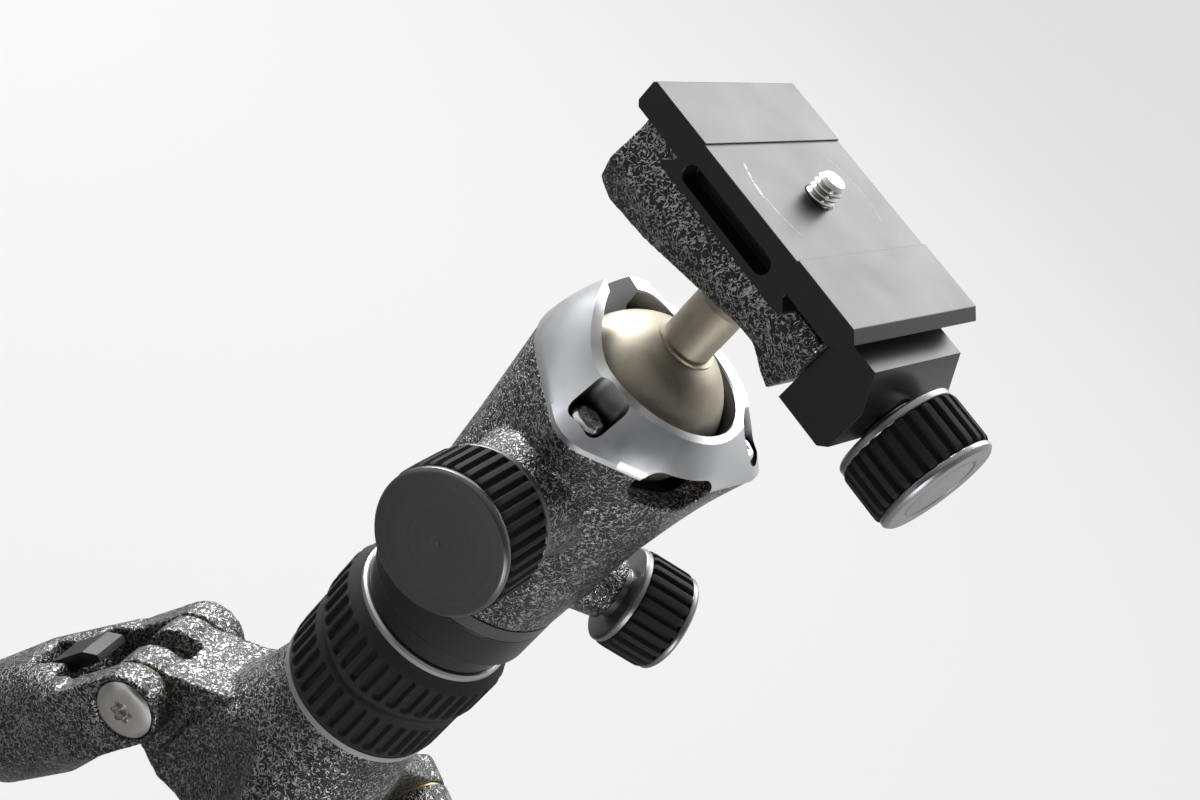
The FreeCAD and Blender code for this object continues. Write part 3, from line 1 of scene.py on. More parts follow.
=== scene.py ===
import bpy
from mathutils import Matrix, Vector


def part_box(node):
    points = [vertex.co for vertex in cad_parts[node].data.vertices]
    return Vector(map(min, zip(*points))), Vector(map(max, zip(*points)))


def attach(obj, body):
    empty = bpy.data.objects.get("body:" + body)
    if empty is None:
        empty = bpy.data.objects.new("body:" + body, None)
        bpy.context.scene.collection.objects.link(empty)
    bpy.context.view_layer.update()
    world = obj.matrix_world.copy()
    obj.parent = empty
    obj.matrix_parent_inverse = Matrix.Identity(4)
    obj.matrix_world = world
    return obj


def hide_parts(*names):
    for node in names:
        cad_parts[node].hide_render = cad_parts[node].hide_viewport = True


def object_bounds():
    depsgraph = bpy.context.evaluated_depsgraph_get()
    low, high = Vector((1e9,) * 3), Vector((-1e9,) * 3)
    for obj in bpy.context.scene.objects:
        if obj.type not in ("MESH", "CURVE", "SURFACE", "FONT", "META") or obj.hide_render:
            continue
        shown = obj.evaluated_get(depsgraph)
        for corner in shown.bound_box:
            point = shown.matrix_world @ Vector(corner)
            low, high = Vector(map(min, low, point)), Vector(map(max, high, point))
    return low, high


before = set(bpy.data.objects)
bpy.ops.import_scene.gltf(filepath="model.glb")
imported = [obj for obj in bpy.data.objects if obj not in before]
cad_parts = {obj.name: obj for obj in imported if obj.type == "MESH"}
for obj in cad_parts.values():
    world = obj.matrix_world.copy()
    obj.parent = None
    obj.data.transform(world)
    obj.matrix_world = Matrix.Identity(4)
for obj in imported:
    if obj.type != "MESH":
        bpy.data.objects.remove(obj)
SOLID_BOX = [list(corner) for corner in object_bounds()]

import math

import bmesh
import bpy
import numpy as np
from bpy.props import FloatProperty, FloatVectorProperty, IntProperty, PointerProperty
from mathutils import Matrix, Vector

bl_info = {
    "name": "Travel tripod",
    "version": (1, 0, 0),
    "blender": (4, 5, 0),
    "location": "3D View > Sidebar > Tripod",
    "description": "Dresses the travel tripod: castings, ball head, grips, screws, tubes and stage",
    "category": "Object",
}

# Places in millimetres, in the row frame
MM = 0.001
TURN = 2 * math.pi
BALL_CENTRE = (0.0, 0.0, -61.8)
SEAM_HEIGHT = -122.4
PLATFORM_TURN = math.radians(-10.7)
PLATE_SLIDE = -2.2
LOCK_DROP = -84.7
PAN_DROP = -108.8
PAN_AZIMUTH = math.radians(29.0)
CLAMP_DROP = -19.5
HINGE_RADIUS = 37.8
HINGE_HEIGHT = -212.8
LEG_AZIMUTHS = (188.0, 308.0, 68.0)
LEG_SPREAD = math.radians(24.0)
SCREW_AZIMUTHS = (270.0, 30.0, 130.0)
LOBE_PLACE = 25.2
LOBE_RADIUS = 7.0
SCREW_SEAT = 1.4
NOTCH_AZIMUTH = 175.0
PORT_AZIMUTH = 329.0
NEAR_HORN_AZIMUTH = 196.0
FAR_HORN_AZIMUTH = 154.0
LOW_SIDE_AZIMUTH = 335.0
HINGE_HALF_WIDTH = 18.7
COLUMN_RADIUS = 12.5
LEG_RADIUS = 12.0
CLAMP_REACH = 41.1
LOCK_REACH = 35.55
PAN_REACH = 27.55

# The photograph's camera: eye in metres, its right and top directions, and its lens
EYE = (0.0546, -0.3569, 0.1498)
TO_RIGHT = (0.6641, 0.4685, 0.5826)
TO_TOP = (-0.7342, 0.2614, 0.6266)
LENS = 59.58


# Settings a user would change
def colour_of(label, note, rgb):
    return FloatVectorProperty(name=label, description=note, default=rgb, subtype="COLOR",
                               size=3, min=0.0, max=1.0)


def length_of(label, note, metres, **limits):
    return FloatProperty(name=label, description=note, default=metres, unit="LENGTH", **limits)


def power_of(label, note, watts):
    return FloatProperty(name=label, description=note, default=watts, min=0.0, unit="POWER")


def count_of(label, note, number, least, most):
    return IntProperty(name=label, description=note, default=number, min=least, max=most)


class FinishSettings(bpy.types.PropertyGroup):
    enamel: colour_of("Enamel", "Black ground of the hammertone enamel", (0.016, 0.016, 0.0165))
    fleck: colour_of("Fleck", "Silver veins in the hammertone enamel", (0.47, 0.47, 0.46))
    satin: colour_of("Satin silver", "Retaining ring", (0.66, 0.67, 0.69))
    champagne: colour_of("Champagne", "Ball and stem", (0.44, 0.40, 0.32))
    black_anodise: colour_of("Black anodising", "Plate, jaw and pan base", (0.009, 0.009, 0.0095))
    knob_grey: colour_of("Knob grey", "Metal cores of the knobs", (0.13, 0.13, 0.134))
    steel: colour_of("Steel", "Screws, bolts and hook", (0.74, 0.73, 0.71))
    rubber: colour_of("Rubber", "Ribbed grips and feet", (0.012, 0.012, 0.0125))
    brass: colour_of("Brass", "Hinge washers", (0.62, 0.44, 0.16))
    fleck_size: length_of("Fleck size", "Size of the enamel's veins", 0.00122, min=0.0003,
                          max=0.01)


class RingSettings(bpy.types.PropertyGroup):
    outer: length_of("Outer radius", "Ring's lower edge", 0.0258)
    mouth: length_of("Mouth radius", "Opening round the ball", 0.0187)
    level: length_of("Level", "Ring's low side above the ball's centre", 0.0106)
    near_horn: length_of("Near horn", "Rise of the taller horn", 0.0064)
    far_horn: length_of("Far horn", "Rise of the lower horn", 0.0030)
    notch: length_of("Notch", "Width of the stem's notch", 0.0144)
    pocket: length_of("Pocket", "Side of a screw pocket", 0.009)
    port: length_of("Port", "Width of the port under the ring", 0.020)


class GripSettings(bpy.types.PropertyGroup):
    lock_ribs: count_of("Lock knob ribs", "Ribs round the lock knob", 36, 6, 60)
    pan_ribs: count_of("Pan knob ribs", "Ribs round the pan knob", 24, 6, 60)
    clamp_ribs: count_of("Clamp knob ribs", "Ribs round the clamp knob", 26, 6, 60)
    rib_depth: length_of("Rib depth", "Depth of the grooves between ribs", 0.0013)
    collar_slots: count_of("Collar slots", "Slots round the twist collar", 38, 12, 80)
    slot_depth: length_of("Slot depth", "Depth of the collar's slots", 0.0012)


class ScrewSettings(bpy.types.PropertyGroup):
    radius: length_of("Radius", "Outside of the camera screw's thread", 0.003175)
    pitch: length_of("Pitch", "Camera screw's thread pitch", 0.00127)
    thread_depth: length_of("Thread depth", "Depth of that thread", 0.0006)
    height: length_of("Height", "Camera screw above the plate", 0.005)


class StageSettings(bpy.types.PropertyGroup):
    floor: colour_of("Floor", "Pale floor", (0.80, 0.80, 0.80))
    sky: colour_of("Background", "Pale background", (0.855, 0.852, 0.855))
    floor_radius: length_of("Floor radius", "Size of the floor", 9.0, min=1.0)
    front_share: FloatProperty(name="Front share", min=0.0, max=1.0, default=0.09,
                               description="How bright the studio's front is beside its back")
    side_power: power_of("Side lamp", "Power of the lamp at the left", 30.0)
    back_power: power_of("Back lamp", "Power of the lamp behind and above", 22.0)
    right_power: power_of("Right lamp", "Power of the lamp at the right", 4.0)


# Meshes from numpy
def finish_mesh(obj, angle=32.0):
    """Smooth faces, with sharp edges where neighbours turn more than the angle."""
    obj.data.shade_smooth()
    obj.data.set_sharp_from_angle(angle=math.radians(angle))
    return obj


def mesh_object(name, points, faces):
    """An object from points in millimetres and faces; doubles merged, normals outwards."""
    mesh = bpy.data.meshes.new(name)
    mesh.from_pydata((points.reshape(-1, 3) * MM).tolist(), [], faces.tolist())
    work = bmesh.new()
    work.from_mesh(mesh)
    bmesh.ops.remove_doubles(work, verts=work.verts, dist=1e-6)
    bmesh.ops.dissolve_degenerate(work, edges=work.edges, dist=1e-7)
    bmesh.ops.recalc_face_normals(work, faces=work.faces)
    work.to_mesh(mesh)
    work.free()
    obj = bpy.data.objects.new(name, mesh)
    bpy.context.scene.collection.objects.link(obj)
    return obj


def grid(name, points, close_columns=False):
    """A surface over a grid of points P[i, j]: each cell (i, j) is one four-sided face.
    The rows close on themselves, and for a tube's section the columns too."""
    rows, columns = points.shape[:2]
    column_count = columns if close_columns else columns - 1
    i, j = np.meshgrid(np.arange(rows), np.arange(column_count), indexing="ij")
    next_i = (i + 1) % rows
    next_j = (j + 1) % columns
    faces = np.stack([i * columns + j, next_i * columns + j,
                      next_i * columns + next_j, i * columns + next_j], axis=-1)
    return mesh_object(name, points, faces.reshape(-1, 4))


def frame_of(origin, axis, across=None):
    """Origin and three directions, with the local Z along the axis."""
    z = Vector(axis).normalized()
    x = Vector(across) if across else (Vector((0, 0, 1)) if abs(z.z) < 0.9 else Vector((1, 0, 0)))
    x = (x - z * x.dot(z)).normalized()
    y = z.cross(x)
    return np.array(origin, float), np.array([x, y, z], float)


def polar(radius, angle, height=0.0):
    """A point round the upright axis, or with radius 1 a direction."""
    return (radius * math.cos(angle), radius * math.sin(angle), height)


def placed(points, at):
    """Points carried from a local frame: origin + x X + y Y + z Z."""
    origin, axes = at
    return points @ axes + origin


def softened(profile, radius):
    """A profile whose corners are rounded: each corner P gives way to the curve
    (1-t)^2 A + 2 t (1-t) P + t^2 B between points A and B a radius before and after it."""
    corners = np.array(profile, float)
    before = np.roll(corners, 1, axis=0)
    after = np.roll(corners, -1, axis=0)
    reach_before = np.linalg.norm(before - corners, axis=1, keepdims=True)
    reach_after = np.linalg.norm(after - corners, axis=1, keepdims=True)
    cut = np.minimum(radius, 0.45 * np.minimum(reach_before, reach_after))
    start = corners + (before - corners) * cut / np.maximum(reach_before, 1e-9)
    end = corners + (after - corners) * cut / np.maximum(reach_after, 1e-9)
    t = np.linspace(0, 1, 4)[None, :, None]
    curve = ((1 - t) ** 2 * start[:, None] + 2 * t * (1 - t) * corners[:, None]
             + t ** 2 * end[:, None])
    curve[0] = corners[0]
    curve[-1] = corners[-1]
    return curve.reshape(-1, 2)


def turn_in(count):
    """The angles of evenly spaced steps round a whole turn."""
    return np.arange(count) * TURN / count


def around(r, z, angle):
    """Points with x = r cos a, y = r sin a and height z, one row for each angle a."""
    x = r * np.cos(angle)[:, None]
    y = r * np.sin(angle)[:, None]
    return np.stack([x, y, np.broadcast_to(z, x.shape)], axis=-1)


def turned(name, profile, at, count, radius):
    """A profile of (radius, height) with soft corners, carried round an axis."""
    line = softened(profile, radius)
    angle = turn_in(count)
    points = around(line[None, :, 0], line[None, :, 1], angle)
    return finish_mesh(grid(name, placed(points, at)))


def smooth_step(low, high, x):
    """3 t^2 - 2 t^3, with t the share of the way from low to high, held to 0 and 1."""
    t = np.clip((x - low) / (high - low), 0.0, 1.0)
    return t * t * (3 - 2 * t)


def evaluated(obj):
    """The object's mesh with its modifiers worked out and taken off."""
    bpy.context.view_layer.update()
    shown = obj.evaluated_get(bpy.context.evaluated_depsgraph_get())
    mesh = bpy.data.meshes.new_from_object(shown)
    obj.modifiers.clear()
    obj.data = mesh
    return obj


def carved(obj, cutters):
    """The object with each cutter's volume taken away."""
    for cutter in cutters:
        modifier = obj.modifiers.new("Carve", "BOOLEAN")
        modifier.operation = "DIFFERENCE"
        modifier.solver = "EXACT"
        modifier.object = cutter
    evaluated(obj)
    for cutter in cutters:
        bpy.data.objects.remove(cutter)
    return obj


def bevelled(obj, width, segments=2, angle=30.0):
    """Narrow rounded edges, which catch the light as real ones do."""
    finish_mesh(obj, angle)
    modifier = obj.modifiers.new("Edges", "BEVEL")
    modifier.width = width * MM
    modifier.segments = segments
    modifier.limit_method = "ANGLE"
    modifier.angle_limit = math.radians(angle)
    modifier.harden_normals = True
    return evaluated(obj)


def copied(node, name):
    """A copy of a solid's mesh with its loose triangles joined."""
    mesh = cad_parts[node].data.copy()
    mesh.name = name
    mesh.materials.clear()
    work = bmesh.new()
    work.from_mesh(mesh)
    bmesh.ops.remove_doubles(work, verts=work.verts, dist=2e-6)
    bmesh.ops.dissolve_limit(work, angle_limit=math.radians(0.5), verts=work.verts,
                             edges=work.edges)
    work.to_mesh(mesh)
    work.free()
    if "custom_normal" in mesh.attributes:
        mesh.attributes.remove(mesh.attributes["custom_normal"])
    obj = bpy.data.objects.new(name, mesh)
    bpy.context.scene.collection.objects.link(obj)
    return obj


def cast(node, name, voxel, rounds):
    """A casting's soft skin: the solid's surface on a fine grid, then relaxed."""
    obj = copied(node, name)
    remesh = obj.modifiers.new("Skin", "REMESH")
    remesh.mode = "VOXEL"
    remesh.voxel_size = voxel * MM
    soft = obj.modifiers.new("Relax", "SMOOTH")
    soft.factor = 0.5
    soft.iterations = rounds
    evaluated(obj)
    obj.data.shade_smooth()
    return obj


def belongs(obj, body, slot, material, *nodes):
    """Finish and body of a new piece, and hides the solids it stands for. The slot is not used."""
    obj.data.materials.clear()
    obj.data.materials.append(bpy.data.materials[material])
    obj.data.polygons.foreach_set("material_index", np.zeros(len(obj.data.polygons), np.int32))
    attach(obj, body)
    if nodes:
        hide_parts(*nodes)


def coated(material, *nodes):
    """Gives solids that keep their own shape a finish."""
    for node in nodes:
        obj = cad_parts[node]
        obj.data.materials.clear()
        obj.data.materials.append(bpy.data.materials[material])


# Node trees
def new_tree(name):
    material = bpy.data.materials.new(name)
    material.use_nodes = True
    tree = material.node_tree
    tree.nodes.clear()
    end = tree.nodes.new("ShaderNodeOutputMaterial")
    shader = tree.nodes.new("ShaderNodeBsdfPrincipled")
    tree.links.new(shader.outputs["BSDF"], end.inputs["Surface"])
    return tree, shader


def feed(tree, socket, source):
    """Links a socket to another node's output, or sets its value."""
    if isinstance(source, bpy.types.NodeSocket):
        tree.links.new(source, socket)
    else:
        socket.default_value = source


def add(tree, kind, inputs=None, **settings):
    """Adds a node, sets its properties, and links or sets its inputs."""
    made = tree.nodes.new("ShaderNode" + kind)
    for key, setting in settings.items():
        setattr(made, key, setting)
    for key, source in (inputs or {}).items():
        feed(tree, made.inputs[key], source)
    return made


def sums(tree, operation, first, second=0.0, third=0.0):
    """One step of arithmetic."""
    return add(tree, "Math", {0: first, 1: second, 2: third}, operation=operation).outputs[0]


def off_by(tree, value, middle):
    """How far a value is from a middle."""
    return sums(tree, "ABSOLUTE", sums(tree, "SUBTRACT", value, middle))


def strongest(tree, values):
    """The highest of several values."""
    top = values[0]
    for value in values[1:]:
        top = sums(tree, "MAXIMUM", top, value)
    return top


def spread(tree, value, low, high, to_low=0.0, to_high=1.0):
    """A value read from one span into another, and held within it."""
    return add(tree, "MapRange", {"Value": value, "From Min": low, "From Max": high,
                                  "To Min": to_low, "To Max": to_high}, clamp=True).outputs[0]


def varied(tree, patch, low=0.0, high=1.0):
    """A value that follows the middle part of a noise from low to high."""
    return spread(tree, patch, 0.3, 0.7, low, high)


def noise(tree, place, size, detail=2.0, rough=0.5, twist=0.0):
    """Noise whose features are about the given size in metres."""
    return add(tree, "TexNoise", {"Vector": place, "Scale": 1.0 / size, "Detail": detail,
                                  "Roughness": rough, "Distortion": twist}).outputs["Fac"]


def blended(tree, factor, first, second):
    """A colour between two colours."""
    return add(tree, "Mix", {0: factor, 6: first, 7: second}, data_type="RGBA").outputs[2]


def opaque(rgb, share=1.0):
    return (rgb[0] * share, rgb[1] * share, rgb[2] * share, 1.0)


def here(tree):
    return add(tree, "TexCoord").outputs["Object"]


def local(tree, origin, axes):
    """Object coordinates read in a local frame, in metres."""
    turn = Matrix([list(axis) for axis in axes]).transposed().to_euler()
    return add(tree, "Mapping", {"Vector": here(tree), "Location": tuple(v * MM for v in origin),
                                 "Rotation": tuple(turn)}, vector_type="TEXTURE").outputs[0]


def from_axis(tree, parts):
    """Distance from the local Z axis."""
    squares = [sums(tree, "POWER", part, 2.0) for part in (parts[0], parts[1])]
    return sums(tree, "POWER", sums(tree, "ADD", *squares), 0.5)


def relief(tree, height, strength, distance):
    """A bump from a height."""
    return add(tree, "Bump", {"Height": height, "Strength": strength,
                              "Distance": distance}).outputs[0]


def join(tree, shader, **links):
    """Feeds the shader's tone, gloss, metal and normal."""
    names = {"base": "Base Color", "rough": "Roughness", "metal": "Metallic",
             "normal": "Normal"}
    for key, source in links.items():
        feed(tree, shader.inputs[names[key]], source)


# Finishes
def make_hammertone(finish):
    """Black enamel with silver veins where a noise n has |n - 0.5| below a drifting width."""
    tree, shader = new_tree("hammertone_enamel")
    place = here(tree)
    size = finish.fleck_size
    swirl = noise(tree, place, size, 1.8, 0.5, 0.8)
    large = noise(tree, place, size * 8, 2.0)
    off = off_by(tree, swirl, 0.5)
    width = varied(tree, large, 0.020, 0.042)
    over = sums(tree, "SUBTRACT", width, off)
    mask = spread(tree, over, -0.014, 0.010)
    fine = noise(tree, place, size * 0.3, 2.0)
    base = blended(tree, mask, opaque(finish.enamel), opaque(finish.fleck))
    height = sums(tree, "MULTIPLY_ADD", fine, 0.10, sums(tree, "MULTIPLY_ADD", mask, 0.12, swirl))
    join(tree, shader, base=base, metal=spread(tree, mask, 0.0, 1.0, 0.10, 0.95),
         rough=spread(tree, mask, 0.0, 1.0, 0.34, 0.28),
         normal=relief(tree, height, 0.8, 0.0008))


def make_satin(finish):
    """Satin anodising, with painted shade that darkens it in deep pockets."""
    tree, shader = new_tree("satin_silver")
    place = here(tree)
    grain = noise(tree, place, 0.00012, 2.0)
    patch = noise(tree, place, 0.006, 3.0)
    base = blended(tree, varied(tree, patch), opaque(finish.satin, 0.93),
                   opaque(finish.satin))
    # Painted shade: ambient occlusion within 9 mm darkens the colour to 0.12 of the satin in
    # pockets and hollows.
    free = add(tree, "AmbientOcclusion", {"Distance": 0.009}, samples=12).outputs["AO"]
    base = blended(tree, spread(tree, free, 0.35, 0.8), opaque(finish.satin, 0.12), base)
    join(tree, shader, base=base, metal=0.95,
         rough=varied(tree, patch, 0.30, 0.37),
         normal=relief(tree, grain, 0.12, 0.00004))


def make_champagne(finish):
    """A warm coat with faint streaks."""
    tree, shader = new_tree("champagne_coat")
    place = here(tree)
    grain = noise(tree, place, 0.00022, 3.0, 0.6)
    patch = noise(tree, place, 0.004, 3.0, 0.6)
    streak = noise(tree, place, 0.0012, 4.0, 0.7, 1.0)
    shade = spread(tree, sums(tree, "MULTIPLY_ADD", streak, 0.35, patch), 0.45, 0.95)
    base = blended(tree, shade, opaque(finish.champagne, 0.82), opaque(finish.champagne, 1.06))
    join(tree, shader, base=base, metal=0.9,
         rough=varied(tree, patch, 0.44, 0.54),
         normal=relief(tree, grain, 0.35, 0.00005))


def make_plain(name, rgb, shares, metal, rough, patch_size, grain, bump):
    """A finish whose tone and gloss drift slowly, with a fine grain."""
    tree, shader = new_tree(name)
    place = here(tree)
    patch = noise(tree, place, patch_size, 3.0)
    base = blended(tree, patch, opaque(rgb, shares[0]), opaque(rgb, shares[1]))
    join(tree, shader, base=base, metal=metal, rough=varied(tree, patch, *rough),
         normal=relief(tree, noise(tree, place, *grain), *bump))


def make_plate_black(finish):
    """Black anodising with the arcs that camera bases have left, rubbed away in places."""
    tree, shader = new_tree("plate_black")
    origin, axes = PLATE
    place = local(tree, origin, axes)
    parts = add(tree, "SeparateXYZ", {0: place}).outputs
    patch = noise(tree, place, 0.014, 3.0)
    grain = noise(tree, place, 0.00016, 2.0)
    rub = noise(tree, place, 0.0012, 4.0, 0.7)
    angle = sums(tree, "ARCTAN2", parts[1], parts[0])
    away = from_axis(tree, parts)
    on_top = spread(tree, parts[2], -0.0004, -0.0001)
    arcs = []
    for reach, middle, half, width, share in ARCS:
        line = spread(tree, off_by(tree, away, reach * MM), width * MM, width * MM * 0.35)
        within = spread(tree, off_by(tree, angle, middle), half, half * 0.7)
        arcs.append(sums(tree, "MULTIPLY", sums(tree, "MULTIPLY", line, within), share))
    marks = sums(tree, "MULTIPLY", sums(tree, "MULTIPLY", strongest(tree, arcs), on_top),
                 spread(tree, rub, 0.34, 0.6))
    black = finish.black_anodise
    base = blended(tree, patch, opaque(black, 0.9), opaque(black, 1.2))
    base = blended(tree, marks, base, (0.85, 0.85, 0.84, 1.0))
    rough = sums(tree, "MULTIPLY_ADD", marks, 0.15, varied(tree, patch, 0.30, 0.38))
    join(tree, shader, base=base, metal=sums(tree, "MULTIPLY", marks, 0.5), rough=rough,
         normal=relief(tree, grain, 0.12, 0.00003))


def make_turned_metal(name, rgb, origin, axes):
    """Metal with the fine rings that a lathe leaves round a knob's axis."""
    tree, shader = new_tree(name)
    place = local(tree, origin, axes)
    parts = add(tree, "SeparateXYZ", {0: place}).outputs
    away = from_axis(tree, parts)
    rings = sums(tree, "SINE", sums(tree, "MULTIPLY", away, TURN / 0.0004))
    drift = noise(tree, add(tree, "CombineXYZ", {0: away}).outputs[0], 1 / 900, 3.0)
    patch = noise(tree, place, 0.008, 2.0)
    base = blended(tree, drift, opaque(rgb, 0.85), opaque(rgb, 1.15))
    height = sums(tree, "MULTIPLY_ADD", rings, 0.35, drift)
    join(tree, shader, base=base, metal=0.9,
         rough=varied(tree, patch, 0.3, 0.38),
         normal=relief(tree, height, 0.22, 0.00003))


def make_plastic():
    tree, shader = new_tree("dark_plastic")
    place = here(tree)
    grain = noise(tree, place, 0.0004, 3.0, 0.6)
    patch = noise(tree, place, 0.01, 2.0)
    base = blended(tree, patch, (0.018, 0.018, 0.018, 1.0), (0.035, 0.035, 0.036, 1.0))
    join(tree, shader, base=base, metal=0.0, rough=varied(tree, grain, 0.45, 0.6),
         normal=relief(tree, grain, 0.2, 0.00008))


def make_scale_grey():
    """Dark anodising with ticks every 2.5 degrees, longer ones every 5 and every 15."""
    tree, shader = new_tree("scale_grey")
    place = here(tree)
    parts = add(tree, "SeparateXYZ", {0: place}).outputs
    degrees = sums(tree, "MULTIPLY", sums(tree, "ARCTAN2", parts[1], parts[0]), 360.0 / TURN)
    height = sums(tree, "SUBTRACT", parts[2], SEAM_HEIGHT * MM)
    ticks = []
    for step, top in ((2.5, 0.0013), (5.0, 0.0019), (15.0, 0.0027)):
        off = sums(tree, "PINGPONG", degrees, step / 2)
        near = spread(tree, off, 0.32, 0.2)
        low = spread(tree, height, top, top - 0.00008)
        ticks.append(sums(tree, "MULTIPLY", near, low))
    marks = sums(tree, "MULTIPLY", strongest(tree, ticks), spread(tree, height, 0.0003, 0.00036))
    patch = noise(tree, place, 0.006, 3.0)
    base = blended(tree, patch, (0.055, 0.055, 0.056, 1.0), (0.075, 0.075, 0.076, 1.0))
    base = blended(tree, marks, base, (0.36, 0.36, 0.36, 1.0))
    join(tree, shader, base=base, metal=0.5, rough=varied(tree, patch, 0.32, 0.4),
         normal=relief(tree, sums(tree, "MULTIPLY", marks, -1.0), 0.4, 0.00005))


def make_carbon(name, origin, axes, radius):
    """Twill weave round a tube: strips cross at right angles, each over two and under two."""
    tree, shader = new_tree(name)
    place = local(tree, origin, axes)
    parts = add(tree, "SeparateXYZ", {0: place}).outputs
    strip = 0.0016
    count = round(TURN * radius * MM / strip / 4) * 4
    round_it = sums(tree, "MULTIPLY", sums(tree, "ARCTAN2", parts[1], parts[0]), count / TURN)
    along = sums(tree, "MULTIPLY", parts[2], 1.0 / strip)
    step_round = sums(tree, "FLOOR", round_it)
    step_along = sums(tree, "FLOOR", along)
    phase = sums(tree, "FLOORED_MODULO", sums(tree, "ADD", step_round, step_along), 4.0)
    over = sums(tree, "LESS_THAN", phase, 1.5)
    across = sums(tree, "PINGPONG", round_it, 0.5)
    up = sums(tree, "PINGPONG", along, 0.5)
    crown = blended(tree, over, across, up)
    thread = noise(tree, place, 0.0002, 2.0)
    base = blended(tree, over, (0.012, 0.012, 0.013, 1.0), (0.040, 0.040, 0.042, 1.0))
    base = blended(tree, sums(tree, "MULTIPLY", thread, 0.5), base, (0.03, 0.03, 0.032, 1.0))
    shader.inputs["Coat Weight"].default_value = 0.7
    shader.inputs["Coat Roughness"].default_value = 0.18
    join(tree, shader, base=base, metal=0.3, rough=0.4,
         normal=relief(tree, crown, 0.25, 0.00012))


PLATE = frame_of(
    (-PLATE_SLIDE * math.sin(PLATFORM_TURN), PLATE_SLIDE * math.cos(PLATFORM_TURN), 0.0),
    (0, 0, 1), polar(1, PLATFORM_TURN))
CLAMP = frame_of(polar(CLAMP_REACH, PLATFORM_TURN, CLAMP_DROP), polar(1, PLATFORM_TURN))
LOCK = frame_of((0, -LOCK_REACH, LOCK_DROP), (0, -1, 0))
PAN = frame_of(polar(PAN_REACH, PAN_AZIMUTH, PAN_DROP), polar(1, PAN_AZIMUTH))
AXIS = frame_of((0, 0, 0), (0, 0, 1), (1, 0, 0))
# Arcs on the plate: radius from the screw, middle angle, half angle, half width, strength
ARCS = (
    (19.4, -1.85, 0.26, 0.40, 0.9),
    (18.9, -1.45, 0.38, 0.18, 0.6),
    (18.0, 1.85, 0.40, 0.14, 0.5),
    (17.9, 1.35, 0.30, 0.10, 0.35),
)
# Plain finishes: setting, dark and light share, metal, gloss, size of patches, grain, bump
PLAIN = {
    "black_anodised": ("black_anodise", (0.8, 1.25), 0.0, (0.30, 0.38), 0.011,
                       (0.00018,), (0.15, 0.00003)),
    "bright_steel": ("steel", (0.85, 1.0), 1.0, (0.18, 0.28), 0.002,
                     (0.0001,), (0.1, 0.00002)),
    "grip_rubber": ("rubber", (0.7, 1.5), 0.0, (0.42, 0.56), 0.004,
                    (0.00025, 3.0, 0.6), (0.2, 0.00005)),
    "washer_brass": ("brass", (0.7, 1.0), 1.0, (0.25, 0.4), 0.0015,
                     (0.0015, 3.0), (0.1, 0.00005)),
}
# Box of the angle-stop tab's room in a leg's own directions, lowest and highest corner
TAB_ROOM = np.array(((9.0, -5.7, -35.2), (30.0, 5.7, -8.1)))
# Depth of the platform's ridge along the clamp
RIDGE = ((-31.0, -14.0, 0.0, 15.0, 27.0), (21.2, 20.9, 19.0, 15.2, 13.0))


def leg_frame(azimuth):
    """Hinge point, and directions with Z up along the leg and Y along the hinge."""
    a = math.radians(azimuth)
    up = polar(-math.sin(LEG_SPREAD), a, math.cos(LEG_SPREAD))
    return frame_of(polar(HINGE_RADIUS, a, HINGE_HEIGHT), up, polar(1, a))


class TRIPOD_OT_finishes(bpy.types.Operator):
    """Makes every finish of the tripod."""
    bl_idname = "tripod.finishes"
    bl_label = "Finishes"

    def execute(self, context):
        finish = context.scene.tripod_finish
        make_hammertone(finish)
        make_satin(finish)
        make_champagne(finish)
        for name, (setting, *look) in PLAIN.items():
            make_plain(name, getattr(finish, setting), *look)
        make_plate_black(finish)
        make_plastic()
        make_scale_grey()
        make_turned_metal("lock_metal", finish.knob_grey, *LOCK)
        make_turned_metal("pan_metal", tuple(v * 1.9 for v in finish.knob_grey), *PAN)
        make_turned_metal("clamp_metal", tuple(v * 2.3 for v in finish.knob_grey), *CLAMP)
        make_turned_metal("collar_metal", (0.55, 0.55, 0.56), *AXIS)
        make_carbon("column_carbon", *AXIS, COLUMN_RADIUS)
        for index, azimuth in enumerate(LEG_AZIMUTHS, start=1):
            make_carbon(f"leg_{index}_carbon", *leg_frame(azimuth), LEG_RADIUS)
        return {"FINISHED"}


# Plate, screw and clamp
def thread_surface(name, radius, pitch, depth, low, high, at):
    """A screw thread: r = radius - depth * w(z / pitch - a / turn), where w goes from 0 on
    the crest to 1 in the root. The end is drawn in to radius - 1.4 depth + 0.9 (high - z)."""
    angle = turn_in(64)
    z = np.linspace(low, high, int((high - low) / pitch * 18))
    phase = (z[None, :] / pitch - angle[:, None] / TURN) % 1.0
    w = np.clip(np.abs(phase - 0.5) * 2.6 - 0.25, 0.0, 1.0)
    r = radius - depth * w
    end = radius - 1.4 * depth + (high - z) * 0.9
    r = np.minimum(r, end[None, :])
    r = np.pad(r, ((0, 0), (1, 1)))
    z = np.concatenate([[low], z, [high - 0.15]])
    return finish_mesh(grid(name, placed(around(r, z, angle), at)), 50)


